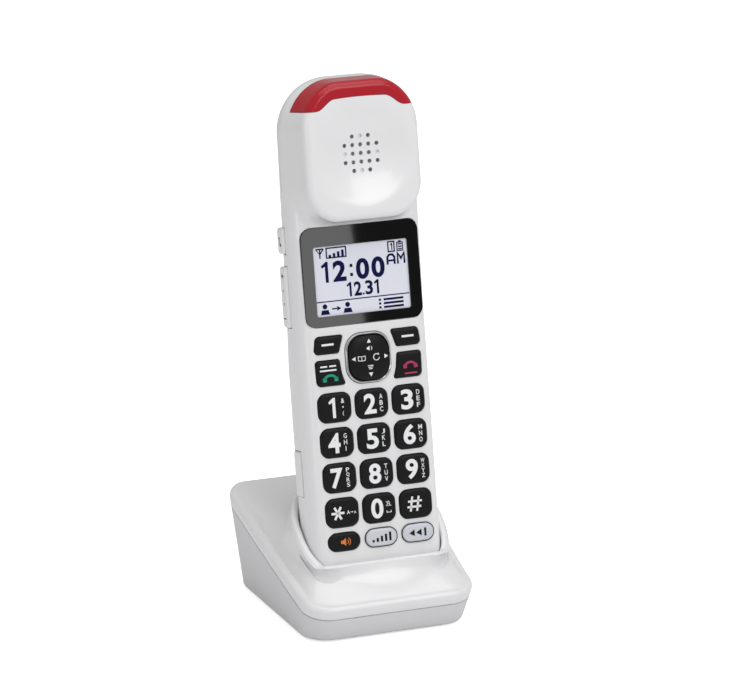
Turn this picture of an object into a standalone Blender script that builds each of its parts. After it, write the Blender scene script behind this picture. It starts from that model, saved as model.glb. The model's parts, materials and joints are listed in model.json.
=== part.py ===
"""Cordless telephone handset standing in its charging base.

Metres, +Z up, +X to the right of someone facing the keys, -Y towards that person. The origin is
the middle of the object's footprint on the table. The handset is modelled in its own axes (x across,
y back from the key face, z up its length from the bottom end) under an empty that leans back, so
the keys travel along the empty's y and the handset lifts out of the base along the empty's z.
"""
import math

import bmesh
import bpy
from mathutils import Matrix, Vector

# ---- driving dimensions of the handset ----
HANDSET_WIDTH = 0.0530
HANDSET_LENGTH = 0.1935
WALL = 0.0020                 # moulded shell thickness
GAP = 0.0003                  # clearance between neighbouring pieces
LEAN = math.radians(10.9)     # how far the docked handset leans back
FRONT_EDGE = (0.0060, 0.0100) # rounding of the face's long edges, across and in depth
REAR_EDGE = 0.0120            # rounding of the back's long edges
BOTTOM_CORNER = 0.0090        # rounding of the bottom end, seen from the front
TOP_CORNER = 0.0230           # rounding of the top end, seen from the front
END_EDGE = 0.0050             # rounding of the ends' front edges and of the bottom's rear edge
CROWN_EDGE = 0.0130           # rounding of the top end's rear edge
HEAD_THINNING = 0.0085        # depth the back loses between the grip and the head
GRIP_LENGTH = 0.0850          # length of the parallel grip
SHELL_SEAM = 0.0160           # depth of the seam between the front and back shells
SEAM_STEP = 0.0080            # how far the seam comes forward at the head
PLY = 0.0012                  # circuit board, display window and key web thickness

# ---- earpiece head ----
HEAD_LENGTH = 0.0530          # raised head, from its foot to the top end
HEAD_RISE = 0.0105            # how far its rim stands in front of the face
HEAD_INSET = 0.0002           # how far its widest outline keeps inside the handset's
HEAD_EDGE = 0.0040            # rounding of the rim
HEAD_DRAFT = math.radians(17) # slope of its sides, which widen down to the body
HEAD_SPREAD = 0.0017          # how much lower its foot is than at the face
HEAD_LOW_CORNER = 0.0115      # rounding of its lower corners
DISH_RADIUS = 0.0190
DISH_DEPTH = 0.0030
DISH_WALL = 0.0025            # shell thickness behind the dish
DISH_FROM_TOP = 0.0287        # from the top end down to the dish's middle
SOUND_HOLE_PITCH = 0.0032
SOUND_HOLE_RADIUS = 0.0008
LENS_DEPTH = 0.0115           # how far the lens wraps back over the top end
LENS_HEIGHT = 0.0118          # its lower ends, below the top end
LENS_CROWN = 0.0072           # its lower edge in the middle, below the top end
LENS_REACH = 0.0165           # half the clear width between its lower ends

# ---- display ----
DISPLAY_LENGTH = 0.0370
DISPLAY_FOOT_GAP = 0.0024     # from the display window up to the head
DISPLAY_MARGIN = 0.0031       # from the display window to the side of the handset
DISPLAY_CORNER = 0.0040
SCREEN_SIDE = 0.0045          # printed border of the window, at the sides
SCREEN_TOP = 0.0072
SCREEN_BOTTOM = 0.0037
MODULE_EDGE = 0.0015          # how far the display module reaches past its screen

# ---- keys ----
KEY_EDGE_MARGIN = 0.00518     # from the outer keys to the side of the handset
KEY_SPACE = 0.00198           # between columns
ROW_SPACE = 0.00182           # between number rows
KEY_CORNER = 0.0037
KEY_PROUD = 0.0009
KEY_TRAVEL = 0.0006
KEY_DEPTH = 0.0026            # how deep a key cap reaches behind the face
LOWER_ROW_HEIGHT = 0.0063
LOWER_ROW_MARGIN = 0.01685    # from the bottom end to the lower row
LOWER_ROW_GAP = 0.00215       # from the lower row up to the number rows
MENU_GAP = 0.00245            # from the number rows up to the call keys
CALL_KEY = (0.0120, 0.0100)
SOFT_KEY = (0.0120, 0.0075)
SOFT_KEY_GAP = 0.00175
SOFT_KEY_TOP_GAP = 0.0031     # from the soft keys up to the display window
NAV_HALF = (0.0084, 0.0086)
NAV_TRIM = 0.0007
NAV_PROUD = 0.0020
NAV_BELOW_KEYS = 0.0010       # its middle, below the middle of the four keys beside it
NAV_HUB_RADIUS = 0.0030
NAV_BEND = 2.6                # power of the curve that hollows the keys beside it
MAT_THICKNESS = 0.0010
SOFT_EDGE = ((0.0009, 0.0), (0.0003, 0.0002), (0.0, 0.0008))   # a cap's edge, inset and depth

# ---- side controls ----
SIDE_KEY_DEPTH = (0.0083, 0.0143)
SIDE_KEY_PROUD = 0.0010
SIDE_KEY_THICKNESS = 0.0035
SIDE_KEY_CORNER = 0.0008
ROCKER_LENGTH = 0.0230
TONE_LENGTH = 0.0099
ROCKER_TOP_BELOW_HEAD = 0.0165
TONE_TOP_BELOW_HEAD = 0.0019
JACK_COVER_LENGTH = 0.0170
JACK_COVER_FOOT = 0.0374
JACK_COVER_THICKNESS = 0.0017
JACK_COVER_PROUD = 0.0004
JACK_LENGTH = 0.0110
JACK_HALF_HEIGHT = 0.0030
JACK_BORE = 0.0013            # radius

# ---- power ----
CELL_RADIUS = 0.0051
CELL_LENGTH = 0.0440
CELL_FOOT = 0.0575            # from the bottom end to the cells
CELL_SPACE = 0.0008
COVER_THICKNESS = 0.0016
COVER_OVERLAP = 0.0024        # rebate that the battery cover lies in
TRAY_WALL = 0.0015
SPRING_ROOM = 0.0050
NUB = (0.0018, 0.0008)        # a cell's positive end: radius and height
PLATE_HALF = 0.0035           # battery contact plates, half width
SPRING_RADIUS = 0.0032
SPRING_WIRE = 0.0003          # radius
SPRING_TURNS = 3

# ---- screws, sound and small parts ----
SHANK = 0.0011                # radius of the screws' shanks
PILOT = 0.0014                # radius of the holes round them
SCREW_HEAD = (0.0024, 0.0016) # case screws: radius and height
SCREW_SINK = 0.0055           # how deep their heads sit behind the back
SCREW_MARGIN = 0.0070         # from them to the side of the handset
FRONT_BOSS = 0.0031           # radius of the pillars that take the case screws
REAR_BOSS = 0.0042            # radius of the pillars that hold their heads
BASE_SCREW_HEAD = 0.0026      # radius
BASE_BOSS = 0.0034            # radius of the base's screw pillars
BASE_SCREW_TOP = 0.0110       # height of the base screws' tips
EARPIECE = (0.0150, 0.0045)   # radius and depth
LOUDSPEAKER = (0.0105, 0.0045)
LOUDSPEAKER_ABOVE_TRAY = 0.0198
SPEAKER_SLOT = (0.0140, 0.0016)
SLOT_PITCH = 0.0040
MICROPHONE = (0.0021, 0.0018)
VOICE_HOLE_Z = 0.0080
VOICE_HOLE = 0.0006           # radius
LED_HALF = 0.0018
LED_DEPTH = 0.0016
BOARD_MARGIN = 0.0030         # from the main board to the inside of the shell
BOARD_FOOT_HALF = 0.0140      # half width of the board's lower tongue, between the screws

# ---- charging base ----
BASE_MARGIN = 0.0059          # from the handset's side out to the base's side, at the table
BASE_FRONT = 0.0059           # from the handset's foot forward to the base's front, at the table
BASE_REAR = 0.0474            # from the handset's rear foot back to the base's rear, at the table
BASE_CORNER = (0.0106, 0.0090)      # rounding of the base's front and rear corners
BASE_DRAFT = (0.144, 0.400, 0.020)  # outward slope of the sides, the front and the rear
FOOT_HEIGHT = 0.0006          # how far the rubber feet lift the base
FOOT_RADIUS = 0.0045
FOOT_MARGIN = 0.0035          # from the rubber feet to the base's edge
FOOT_SEAT = 0.0010            # how deep they sit in the floor
FLOOR_EDGE = 0.0012           # bevel round the base's underside
SEAM_FRONT = 0.0101           # height of the base's seam at the front
SEAM_RISE = 0.0262            # how much higher it is at the rear
SEAM_BEND = 1.13              # power of its curve from front to rear
SHOULDER = 0.0056             # height of the upper shell's own wall above the seam
SHOULDER_EDGE = 0.0029
POCKET_CLEARANCE = 0.0006     # round the docked handset
POCKET_FLOOR = 0.0003         # under it
RIM_FRONT = 0.0120            # height of the pocket's rim along the handset, at the key face
RIM_SLOPE = 1.07              # rise of the rim per depth, towards the back
RIM_SOFTNESS = 0.0007         # how far the lip's edges fall below its crest
LIP = 0.0026                  # width of the lip round the pocket
COLLAR = 0.0046               # width of the collar that carries it
COLLAR_STEP = 0.0020          # how far the collar's foot lies below the rim
COLLAR_DROP = 0.0100          # how far the surface behind the collar lies below its rim
SCOOP = 0.0030                # how far the surface sags between collar and shoulder
CONTACT_SPACING = 0.0160
CONTACT_RECESS = 0.0010       # from the handset's bottom end up to its contacts
CONTACT_TRAVEL = 0.0008
CONTACT_HALF = (0.0025, 0.0030)     # handset contacts, half width and half depth
TONGUE_HALF = (0.0016, 0.0007)      # charging contacts, half width and half depth
TONGUE_ROOT = 0.0004
INLET_X = 0.0
INLET_HALF = (0.0050, 0.0045)
INLET_DEPTH = 0.0110
INLET_SOCKET = (0.0029, 0.0080)     # radius and depth
INLET_PIN = (0.0009, 0.0020)        # radius and how far it stays behind the mouth
BASE_BOARD = (0.0360, 0.0175)
BASE_SCREW_OFFSET = (0.0070, 0.0100)   # from the inlet's side, and from the base's rear

CORNER_STEPS = 4              # facets to each rounded corner

# ---- places worked out from the driving dimensions ----
HALF = HANDSET_WIDTH / 2
KEY_PITCH = (HANDSET_WIDTH - 2 * KEY_EDGE_MARGIN + KEY_SPACE) / 3
KEY_WIDTH = KEY_PITCH - KEY_SPACE
HEAD_FOOT = HANDSET_LENGTH - HEAD_LENGTH
DISPLAY_TOP = HEAD_FOOT - DISPLAY_FOOT_GAP
DISPLAY_BOTTOM = DISPLAY_TOP - DISPLAY_LENGTH
DISPLAY_HALF = HALF - DISPLAY_MARGIN
SOFT_KEY_Z = DISPLAY_BOTTOM - SOFT_KEY_TOP_GAP - SOFT_KEY[1] / 2
CALL_KEY_Z = SOFT_KEY_Z - SOFT_KEY[1] / 2 - SOFT_KEY_GAP - CALL_KEY[1] / 2
NUMBERS_TOP = CALL_KEY_Z - CALL_KEY[1] / 2 - MENU_GAP
LOWER_ROW_Z = LOWER_ROW_MARGIN + LOWER_ROW_HEIGHT / 2
NUMBERS_BOTTOM = LOWER_ROW_MARGIN + LOWER_ROW_HEIGHT + LOWER_ROW_GAP
ROW_PITCH = (NUMBERS_TOP - NUMBERS_BOTTOM + ROW_SPACE) / 4
KEY_HEIGHT = ROW_PITCH - ROW_SPACE
NAV_Z = (SOFT_KEY_Z + CALL_KEY_Z) / 2 - NAV_BELOW_KEYS
MENU_KEY_X = HALF - KEY_EDGE_MARGIN + 0.0005 - CALL_KEY[0] / 2
MAT_Y = KEY_DEPTH + KEY_TRAVEL + 3 * GAP
BOARD_Y = MAT_Y + MAT_THICKNESS + GAP
TRAY_FLOOR_Y = BOARD_Y + PLY + 4 * GAP
CELL_Y = TRAY_FLOOR_Y + TRAY_WALL + GAP + CELL_RADIUS
TRAY_TOP_Y = CELL_Y + CELL_RADIUS + GAP
CELL_X = CELL_RADIUS + CELL_SPACE / 2
TRAY_HALF = CELL_X + CELL_RADIUS + 3 * GAP
TRAY_BOTTOM = CELL_FOOT - PLY - 2 * GAP
TRAY_TOP = CELL_FOOT + CELL_LENGTH + SPRING_ROOM
COVER_HALF = TRAY_HALF + COVER_OVERLAP
COVER_BOTTOM = TRAY_BOTTOM - COVER_OVERLAP
COVER_TOP = TRAY_TOP + COVER_OVERLAP
# The back lies behind the cells, even where the cover's top end follows the thinner head.
THINNING_RATE = HEAD_THINNING / (HANDSET_LENGTH - GRIP_LENGTH - TOP_CORNER)
HANDSET_DEPTH = TRAY_TOP_Y + GAP + COVER_THICKNESS + THINNING_RATE * (COVER_TOP - GRIP_LENGTH)
DISH_Z = HANDSET_LENGTH - DISH_FROM_TOP
OUTSIDE = 0.0040              # how far cutters reach past a surface
SMALL_TOP = WALL + 0.0010     # depth that opens the front wall
LOUDSPEAKER_Z = TRAY_TOP + LOUDSPEAKER_ABOVE_TRAY
# The charging contacts lie just behind the seam between the shells.
CONTACT_Y = SHELL_SEAM + GAP / 2 + 2 * GAP + CONTACT_HALF[1]
FOOT_POINT = Vector((0.0, 0.0, 0.0160))   # bottom of the handset's key face, docked
REAR_FOOT = HANDSET_DEPTH * math.cos(LEAN)
BASE_Y = (FOOT_POINT.y - BASE_FRONT, FOOT_POINT.y + REAR_FOOT + BASE_REAR)
DOCK = Matrix.Translation(FOOT_POINT) @ Matrix.Rotation(-LEAN, 4, "X")


def clear_scene():
    for obj in list(bpy.data.objects):
        bpy.data.objects.remove(obj, do_unlink=True)


# ---- materials ----
def material(name, colour, roughness, metallic=0.0):
    made = bpy.data.materials.new(name)
    made.use_nodes = True
    shader = made.node_tree.nodes["Principled BSDF"]
    shader.inputs["Base Color"].default_value = (*colour, 1.0)
    shader.inputs["Roughness"].default_value = roughness
    shader.inputs["Metallic"].default_value = metallic
    return made


def make_materials():
    return {
        "white_gloss": material("white_gloss", (0.80, 0.80, 0.80), 0.25),
        "base_gloss": material("base_gloss", (0.74, 0.74, 0.74), 0.30),
        "base_lower": material("base_lower", (0.66, 0.66, 0.66), 0.35),
        "key_black": material("key_black", (0.012, 0.012, 0.013), 0.35),
        "key_clear": material("key_clear", (0.52, 0.54, 0.58), 0.25),
        "window_black": material("window_black", (0.010, 0.010, 0.011), 0.08),
        "screen": material("screen", (0.72, 0.76, 0.86), 0.30),
        "lens_red": material("lens_red", (0.45, 0.010, 0.020), 0.12),
        "trim_chrome": material("trim_chrome", (0.75, 0.75, 0.76), 0.15, 1.0),
        "contact_metal": material("contact_metal", (0.70, 0.66, 0.55), 0.25, 1.0),
        "screw_steel": material("screw_steel", (0.45, 0.45, 0.46), 0.35, 1.0),
        "board_green": material("board_green", (0.02, 0.16, 0.06), 0.50),
        "speaker_grey": material("speaker_grey", (0.10, 0.10, 0.11), 0.50),
        "rubber_grey": material("rubber_grey", (0.12, 0.12, 0.13), 0.85),
        "cell_green": material("cell_green", (0.05, 0.28, 0.14), 0.35),
    }


# ---- mesh helpers ----
def mesh_object(name, bm, finish, parent=None):
    """An object from a bmesh, faces out, round faces smooth."""
    bmesh.ops.recalc_face_normals(bm, faces=bm.faces)
    mesh = bpy.data.meshes.new(name)
    bm.to_mesh(mesh)
    bm.free()
    obj = bpy.data.objects.new(name, mesh)
    bpy.context.collection.objects.link(obj)
    if finish is not None:
        mesh.materials.append(finish)
    obj.parent = parent
    return obj


def smooth(obj, angle=35.0):
    obj.data.shade_smooth()
    obj.data.set_sharp_from_angle(angle=math.radians(angle))
    return obj


def loft(name, rings, finish=None, parent=None):
    """A closed solid skinned over rings of equal length, capped at both ends."""
    bm = bmesh.new()
    rows = [[bm.verts.new(point) for point in ring] for ring in rings]
    count = len(rows[0])
    for low, high in zip(rows, rows[1:]):
        for i in range(count):
            j = (i + 1) % count
            bm.faces.new((low[i], low[j], high[j], high[i]))
    bm.faces.new(rows[0][::-1])
    bm.faces.new(rows[-1])
    return mesh_object(name, bm, finish, parent)


def outline(low, high, corners, steps=CORNER_STEPS):
    """A rounded rectangle; corners are (rx, ry) at low-low, high-low, high-high, low-high."""
    points = []
    signs = ((-1, -1), (1, -1), (1, 1), (-1, 1))
    for number, ((sx, sy), (rx, ry)) in enumerate(zip(signs, corners)):
        cx = (high[0] - rx) if sx > 0 else (low[0] + rx)
        cy = (high[1] - ry) if sy > 0 else (low[1] + ry)
        start = math.pi + number * math.pi / 2
        for k in range(steps + 1):
            angle = start + k / max(steps, 1) * math.pi / 2
            points.append((cx + rx * math.cos(angle), cy + ry * math.sin(angle)))
    return points


def even(radius):
    return [(radius, radius)] * 4


def fillet(distance, radius):
    """How far a rounded edge falls in at a distance from the end it rounds."""
    if distance >= radius:
        return 0.0
    return radius - math.sqrt(max(0.0, radius * radius - (radius - distance) ** 2))


def face_prism(name, shape, front, rear, finish=None, parent=None):
    """An outline in x and z, extruded back from front to rear."""
    rings = [[(x, y, z) for x, z in shape] for y in (front, rear)]
    return loft(name, rings, finish, parent)


def cylinder(name, centre, axis, radius, low, high, sides=12, finish=None, parent=None):
    """A round bar along x, y or z, between low and high on that axis."""
    rings = []
    for along in (low, high):
        ring = []
        for k in range(sides):
            turn = 2 * math.pi * k / sides
            spot = list(centre)
            others = [i for i in range(3) if i != axis]
            spot[axis] = along
            spot[others[0]] += radius * math.cos(turn)
            spot[others[1]] += radius * math.sin(turn)
            ring.append(spot)
        rings.append(ring)
    return loft(name, rings, finish, parent)


def box(name, low, high, finish=None, parent=None):
    shape = outline((low[0], low[2]), (high[0], high[2]), even(0.0), steps=0)
    return face_prism(name, shape, low[1], high[1], finish, parent)


def combine(target, tool, operation):
    """Applies one Boolean to the target's mesh and removes the tool."""
    change = target.modifiers.new(operation.lower(), "BOOLEAN")
    change.operation = operation
    change.solver = "EXACT"
    change.object = tool
    bpy.context.view_layer.update()
    graph = bpy.context.evaluated_depsgraph_get()
    result = bpy.data.meshes.new_from_object(target.evaluated_get(graph), depsgraph=graph)
    target.modifiers.remove(change)
    result.name = target.name
    target.data = result
    bpy.data.objects.remove(tool, do_unlink=True)
    return target


def cut(target, *tools):
    for tool in tools:
        combine(target, tool, "DIFFERENCE")
    return target


def join(target, *tools):
    for tool in tools:
        combine(target, tool, "UNION")
    return target


def keep(target, tool):
    return combine(target, tool, "INTERSECT")


# ---- the handset's outer form ----
def rear_depth(z):
    """Depth of the flat back at a height along the handset."""
    return HANDSET_DEPTH - THINNING_RATE * min(max(z - GRIP_LENGTH, 0.0),
                                               HANDSET_LENGTH - GRIP_LENGTH - TOP_CORNER)


def body_ring(z, wall=0.0, steps=CORNER_STEPS):
    """Cross-section of the handset's body, moved in by a wall."""
    up = z - wall
    down = HANDSET_LENGTH - wall - z
    side_in = fillet(up, BOTTOM_CORNER - wall) + fillet(down, TOP_CORNER - wall)
    front_in = fillet(up, END_EDGE - wall) + fillet(down, END_EDGE - wall)
    rear_in = fillet(up, END_EDGE - wall) + fillet(down, CROWN_EDGE - wall)
    half = HALF - wall - side_in
    front = wall + front_in
    rear = rear_depth(z) - wall - rear_in
    room = (rear - front) / (FRONT_EDGE[1] + REAR_EDGE - 2 * wall)
    fit = min(1.0, half / (REAR_EDGE - wall), room)
    front_corner = ((FRONT_EDGE[0] - wall / 2) * fit, (FRONT_EDGE[1] - wall) * fit)
    rear_corner = ((REAR_EDGE - wall) * fit, (REAR_EDGE - wall) * fit)
    corners = [front_corner, front_corner, rear_corner, rear_corner]
    return [(x, y, z) for x, y in outline((-half, front), (half, rear), corners, steps)]


def end_stations(radius, count):
    """Distances from an end that step evenly round its edge, from the tip inwards."""
    return [radius * (1 - math.cos(math.pi / 2 * k / count)) for k in range(count + 1)]


def body_form(name, wall, finish=None, parent=None):
    low = [wall + d for d in end_stations(BOTTOM_CORNER - wall, 4)]
    high = [HANDSET_LENGTH - wall - d for d in end_stations(TOP_CORNER - wall, 6)]
    heights = low + [GRIP_LENGTH] + high[::-1]
    return loft(name, [body_ring(z, wall) for z in heights], finish, parent)


def head_outline(inset):
    half = HALF - HEAD_INSET - inset
    low = (-half, HEAD_FOOT - HEAD_SPREAD + inset)
    high = (half, HANDSET_LENGTH - HEAD_INSET - inset)
    small = HEAD_LOW_CORNER - min(inset, HEAD_LOW_CORNER / 3)
    large = TOP_CORNER - min(inset, TOP_CORNER / 2)
    return outline(low, high, [(small, small)] * 2 + [(large, large)] * 2)


def head_form(name, wall):
    """The raised head: sloping sides and a rounded rim, or its hollow if a wall is given."""
    rear = END_EDGE
    front = -HEAD_RISE + (DISH_DEPTH + DISH_WALL if wall else 0.0)
    edge = HEAD_EDGE - wall
    slope = math.tan(HEAD_DRAFT)
    centre_y = front + edge
    centre_inset = wall + (rear - centre_y) * slope + edge / math.cos(HEAD_DRAFT)
    rings = [[(x, rear, z) for x, z in head_outline(wall)]]
    steps = 4
    for k in range(steps + 1):
        turn = HEAD_DRAFT + (math.pi / 2 - HEAD_DRAFT) * k / steps
        inset = centre_inset - edge * math.cos(turn)
        rings.append([(x, centre_y - edge * math.sin(turn), z) for x, z in head_outline(inset)])
    return loft(name, rings)


def dish_form(name):
    """The shallow round bowl in front of the earpiece, as a cutter."""
    rings = []
    sides = 24
    for k in range(4):
        radius = DISH_RADIUS * (1 - k / 4)
        depth = DISH_DEPTH * (1 - (radius / DISH_RADIUS) ** 2) if k else 0.0
        rings.append((radius, -HEAD_RISE + depth))
    rings.insert(0, (DISH_RADIUS * 1.05, -HEAD_RISE - DISH_DEPTH))
    turns = [2 * math.pi * s / sides for s in range(sides)]
    return loft(name, [[(r * math.cos(a), y, DISH_Z + r * math.sin(a)) for a in turns]
                       for r, y in rings])


def sound_holes():
    """The 5 by 5 pattern without its corners; the four holes on the middles of its sides are blind."""
    for i in range(-2, 3):
        for j in range(-2, 3):
            if abs(i) + abs(j) < 4:
                blind = (i == 0) != (j == 0) and max(abs(i), abs(j)) == 2
                yield i * SOUND_HOLE_PITCH, DISH_Z + j * SOUND_HOLE_PITCH, blind


def lens_outline(grow):
    """The ringer lens seen from the front: an arch over the dish with flat lower ends."""
    top = HANDSET_LENGTH + OUTSIDE
    foot = HANDSET_LENGTH - LENS_HEIGHT - grow
    crown = HANDSET_LENGTH - LENS_CROWN - grow
    reach = LENS_REACH - grow
    outer = HALF + OUTSIDE
    arch = []
    steps = 8
    for k in range(steps + 1):
        angle = math.pi * k / steps
        bend = math.sin(angle) ** 0.5
        arch.append((-reach * math.cos(angle), foot + (crown - foot) * bend))
    return [(-outer, top), (-outer, foot)] + arch + [(outer, foot), (outer, top)]


# ---- key outlines ----
def key_outline(x, z, width, height, corner, grow=0.0):
    corner = min(corner, 0.49 * width, 0.49 * height) + grow
    low = (x - width / 2 - grow, z - height / 2 - grow)
    high = (x + width / 2 + grow, z + height / 2 + grow)
    return outline(low, high, even(corner), steps=3)


def key_cap(name, shape_of, proud, depth, finish, parent):
    """A key cap with a softened front edge; shape_of(grow) gives its outline."""
    rings = []
    for grow, behind in SOFT_EDGE:
        rings.append([(x, behind - proud, z) for x, z in shape_of(-grow)])
    rings.append([(x, depth, z) for x, z in shape_of(0.0)])
    return smooth(loft(name, rings, finish, parent), 50)


def key_layout():
    """Every face key: its name, outline maker and material."""
    layout = {}
    labels = (("star", "0", "hash"), ("7", "8", "9"), ("4", "5", "6"), ("1", "2", "3"))
    for row, names in enumerate(labels):
        z = NUMBERS_BOTTOM + KEY_HEIGHT / 2 + row * ROW_PITCH
        for column, label in enumerate(names):
            x = (column - 1) * KEY_PITCH
            layout["key_" + label] = (x, z, KEY_WIDTH, KEY_HEIGHT, KEY_CORNER, "key_black")
    lower = (("speaker_key", "key_black"), ("boost_key", "key_clear"), ("slow_key", "key_clear"))
    for column, (name, finish) in enumerate(lower):
        x = (column - 1) * KEY_PITCH
        layout[name] = (x, LOWER_ROW_Z, KEY_WIDTH - 0.0004, LOWER_ROW_HEIGHT, KEY_CORNER, finish)
    for side, call in ((-1, "talk_key"), (1, "off_key")):
        hand = "left" if side < 0 else "right"
        x = side * MENU_KEY_X
        layout[call] = (x, CALL_KEY_Z, *CALL_KEY, 0.0030, "key_black")
        layout["soft_key_" + hand] = (x, SOFT_KEY_Z, *SOFT_KEY, 0.0030, "key_black")
    return layout


def nav_outline(grow):
    half_x = NAV_HALF[0] + grow
    half_z = NAV_HALF[1] + grow
    corner = 0.72 * half_x
    return outline((-half_x, NAV_Z - half_z), (half_x, NAV_Z + half_z), even(corner), steps=5)


def menu_key_shape(spec):
    """Outline maker for a call or soft key, hollowed where it passes the navigation trim."""
    x, z, width, height, corner, _ = spec
    clear = NAV_TRIM + 4 * GAP

    def shape(grow):
        points = []
        half_x = NAV_HALF[0] + clear - grow
        half_z = NAV_HALF[1] + clear - grow
        for px, pz in key_outline(x, z, width, height, corner, grow):
            across = (abs(px) / half_x) ** NAV_BEND
            along = (abs(pz - NAV_Z) / half_z) ** NAV_BEND
            if across + along < 1.0:
                px = math.copysign(half_x * (1 - along) ** (1 / NAV_BEND), px)
            points.append((px, pz))
        return points
    return shape


def key_shape(spec):
    """Outline maker for any face key."""
    if spec[0] and spec[1] > NUMBERS_TOP:
        return menu_key_shape(spec)

    def shape(grow):
        return key_outline(*spec[:5], grow)
    return shape


# ---- handset shells ----
def display_outline(grow):
    low = (-DISPLAY_HALF - grow, DISPLAY_BOTTOM - grow)
    high = (DISPLAY_HALF + grow, DISPLAY_TOP + grow)
    return outline(low, high, even(DISPLAY_CORNER + grow))


def screen_outline(grow):
    low = (-DISPLAY_HALF + SCREEN_SIDE - grow, DISPLAY_BOTTOM + SCREEN_BOTTOM - grow)
    high = (DISPLAY_HALF - SCREEN_SIDE + grow, DISPLAY_TOP - SCREEN_TOP + grow)
    return outline(low, high, even(0.001), steps=1)


def side_opening(name, low_z, high_z, grow):
    front, rear = SIDE_KEY_DEPTH
    low = (-HALF - OUTSIDE, front - grow, low_z - grow)
    high = (-HALF + WALL + OUTSIDE, rear + grow, high_z + grow)
    return box(name, low, high)


def case_screw_places():
    for side, hand in ((-1, "left"), (1, "right")):
        yield hand, side * (HALF - SCREW_MARGIN), BOTTOM_CORNER + GAP


def seam_block(name, shift, far):
    """Everything on one side of the shells' seam: in front of it if far is negative."""
    y = SHELL_SEAM + shift
    reach = abs(far)
    side_view = [(far, -reach), (y, -reach), (y, HEAD_FOOT),
                 (y - SEAM_STEP, HEAD_FOOT + 1.5 * SEAM_STEP), (y - SEAM_STEP, reach), (far, reach)]
    return loft(name, [[(x, py, pz) for py, pz in side_view] for x in (-reach, reach)])


def make_front_shell(parts, frame):
    big = HANDSET_LENGTH
    shell = body_form("front_shell", 0.0, parts["white_gloss"], frame)
    join(shell, head_form("head", 0.0))
    keep(shell, seam_block("front_half", -GAP / 2, -2 * big))
    cavity = join(body_form("cavity", WALL), head_form("head_cavity", WALL))
    for _, x, z in case_screw_places():
        cut(cavity, cylinder("boss", (x, 0, z), 1, FRONT_BOSS, -OUTSIDE, SHELL_SEAM - GAP, 10))
    cut(shell, cavity, dish_form("dish"))
    for x, z, blind in sound_holes():
        floor = -HEAD_RISE + DISH_DEPTH
        end = floor + (DISH_WALL / 3 if blind else 2 * DISH_WALL)
        cut(shell, cylinder("hole", (x, 0, z), 1, SOUND_HOLE_RADIUS, floor - WALL, end, 8))
    lens_cut = face_prism("lens_cut", lens_outline(GAP), -2 * HEAD_RISE, LENS_DEPTH - HEAD_RISE + GAP)
    cut(shell, lens_cut)
    for name, spec in key_layout().items():
        cut(shell, face_prism(name + "_hole", key_shape(spec)(GAP), -OUTSIDE, SMALL_TOP))
    cut(shell, face_prism("nav_hole", nav_outline(NAV_TRIM + 2 * GAP), -OUTSIDE, SMALL_TOP))
    cut(shell, face_prism("window_seat", display_outline(GAP), -OUTSIDE, PLY + GAP / 2))
    cut(shell, face_prism("screen_hole", screen_outline(2 * GAP), -OUTSIDE, SMALL_TOP))
    for name, low_z, high_z in side_places():
        cut(shell, side_opening(name, low_z, high_z, GAP))
    for _, x, z in case_screw_places():
        cut(shell, cylinder("pilot", (x, 0, z), 1, PILOT, SHELL_SEAM / 2, SHELL_SEAM + OUTSIDE, 10))
    cut(shell, cylinder("voice_hole", (0, 0, VOICE_HOLE_Z), 1, VOICE_HOLE, -OUTSIDE, SMALL_TOP, 8))
    return smooth(shell)


def side_places():
    top = HEAD_FOOT - TONE_TOP_BELOW_HEAD
    yield "tone", top - TONE_LENGTH, top
    top = HEAD_FOOT - ROCKER_TOP_BELOW_HEAD
    yield "rocker", top - ROCKER_LENGTH, top
    yield "jack", JACK_COVER_FOOT, JACK_COVER_FOOT + JACK_COVER_LENGTH


def cover_profile():
    """Side view (y, z) of the battery cover: flush with the back, its lower edge half round."""
    radius = COVER_THICKNESS / 2
    pivot_z = COVER_BOTTOM + radius
    centre_y = rear_depth(pivot_z) - radius
    points = []
    for k in range(9):
        angle = math.pi * k / 8
        points.append((centre_y + radius * math.cos(angle), pivot_z - radius * math.sin(angle)))
    for z in (GRIP_LENGTH, COVER_TOP):
        points.append((rear_depth(z) - COVER_THICKNESS, z))
    for z in (COVER_TOP, GRIP_LENGTH):
        points.append((rear_depth(z), z))
    return points


def make_battery_cover(parts, frame):
    rings = [[(x, y, z) for y, z in cover_profile()] for x in (-COVER_HALF, COVER_HALF)]
    cover = loft("battery_cover", rings, parts["white_gloss"], frame)
    return smooth(cover)


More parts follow.
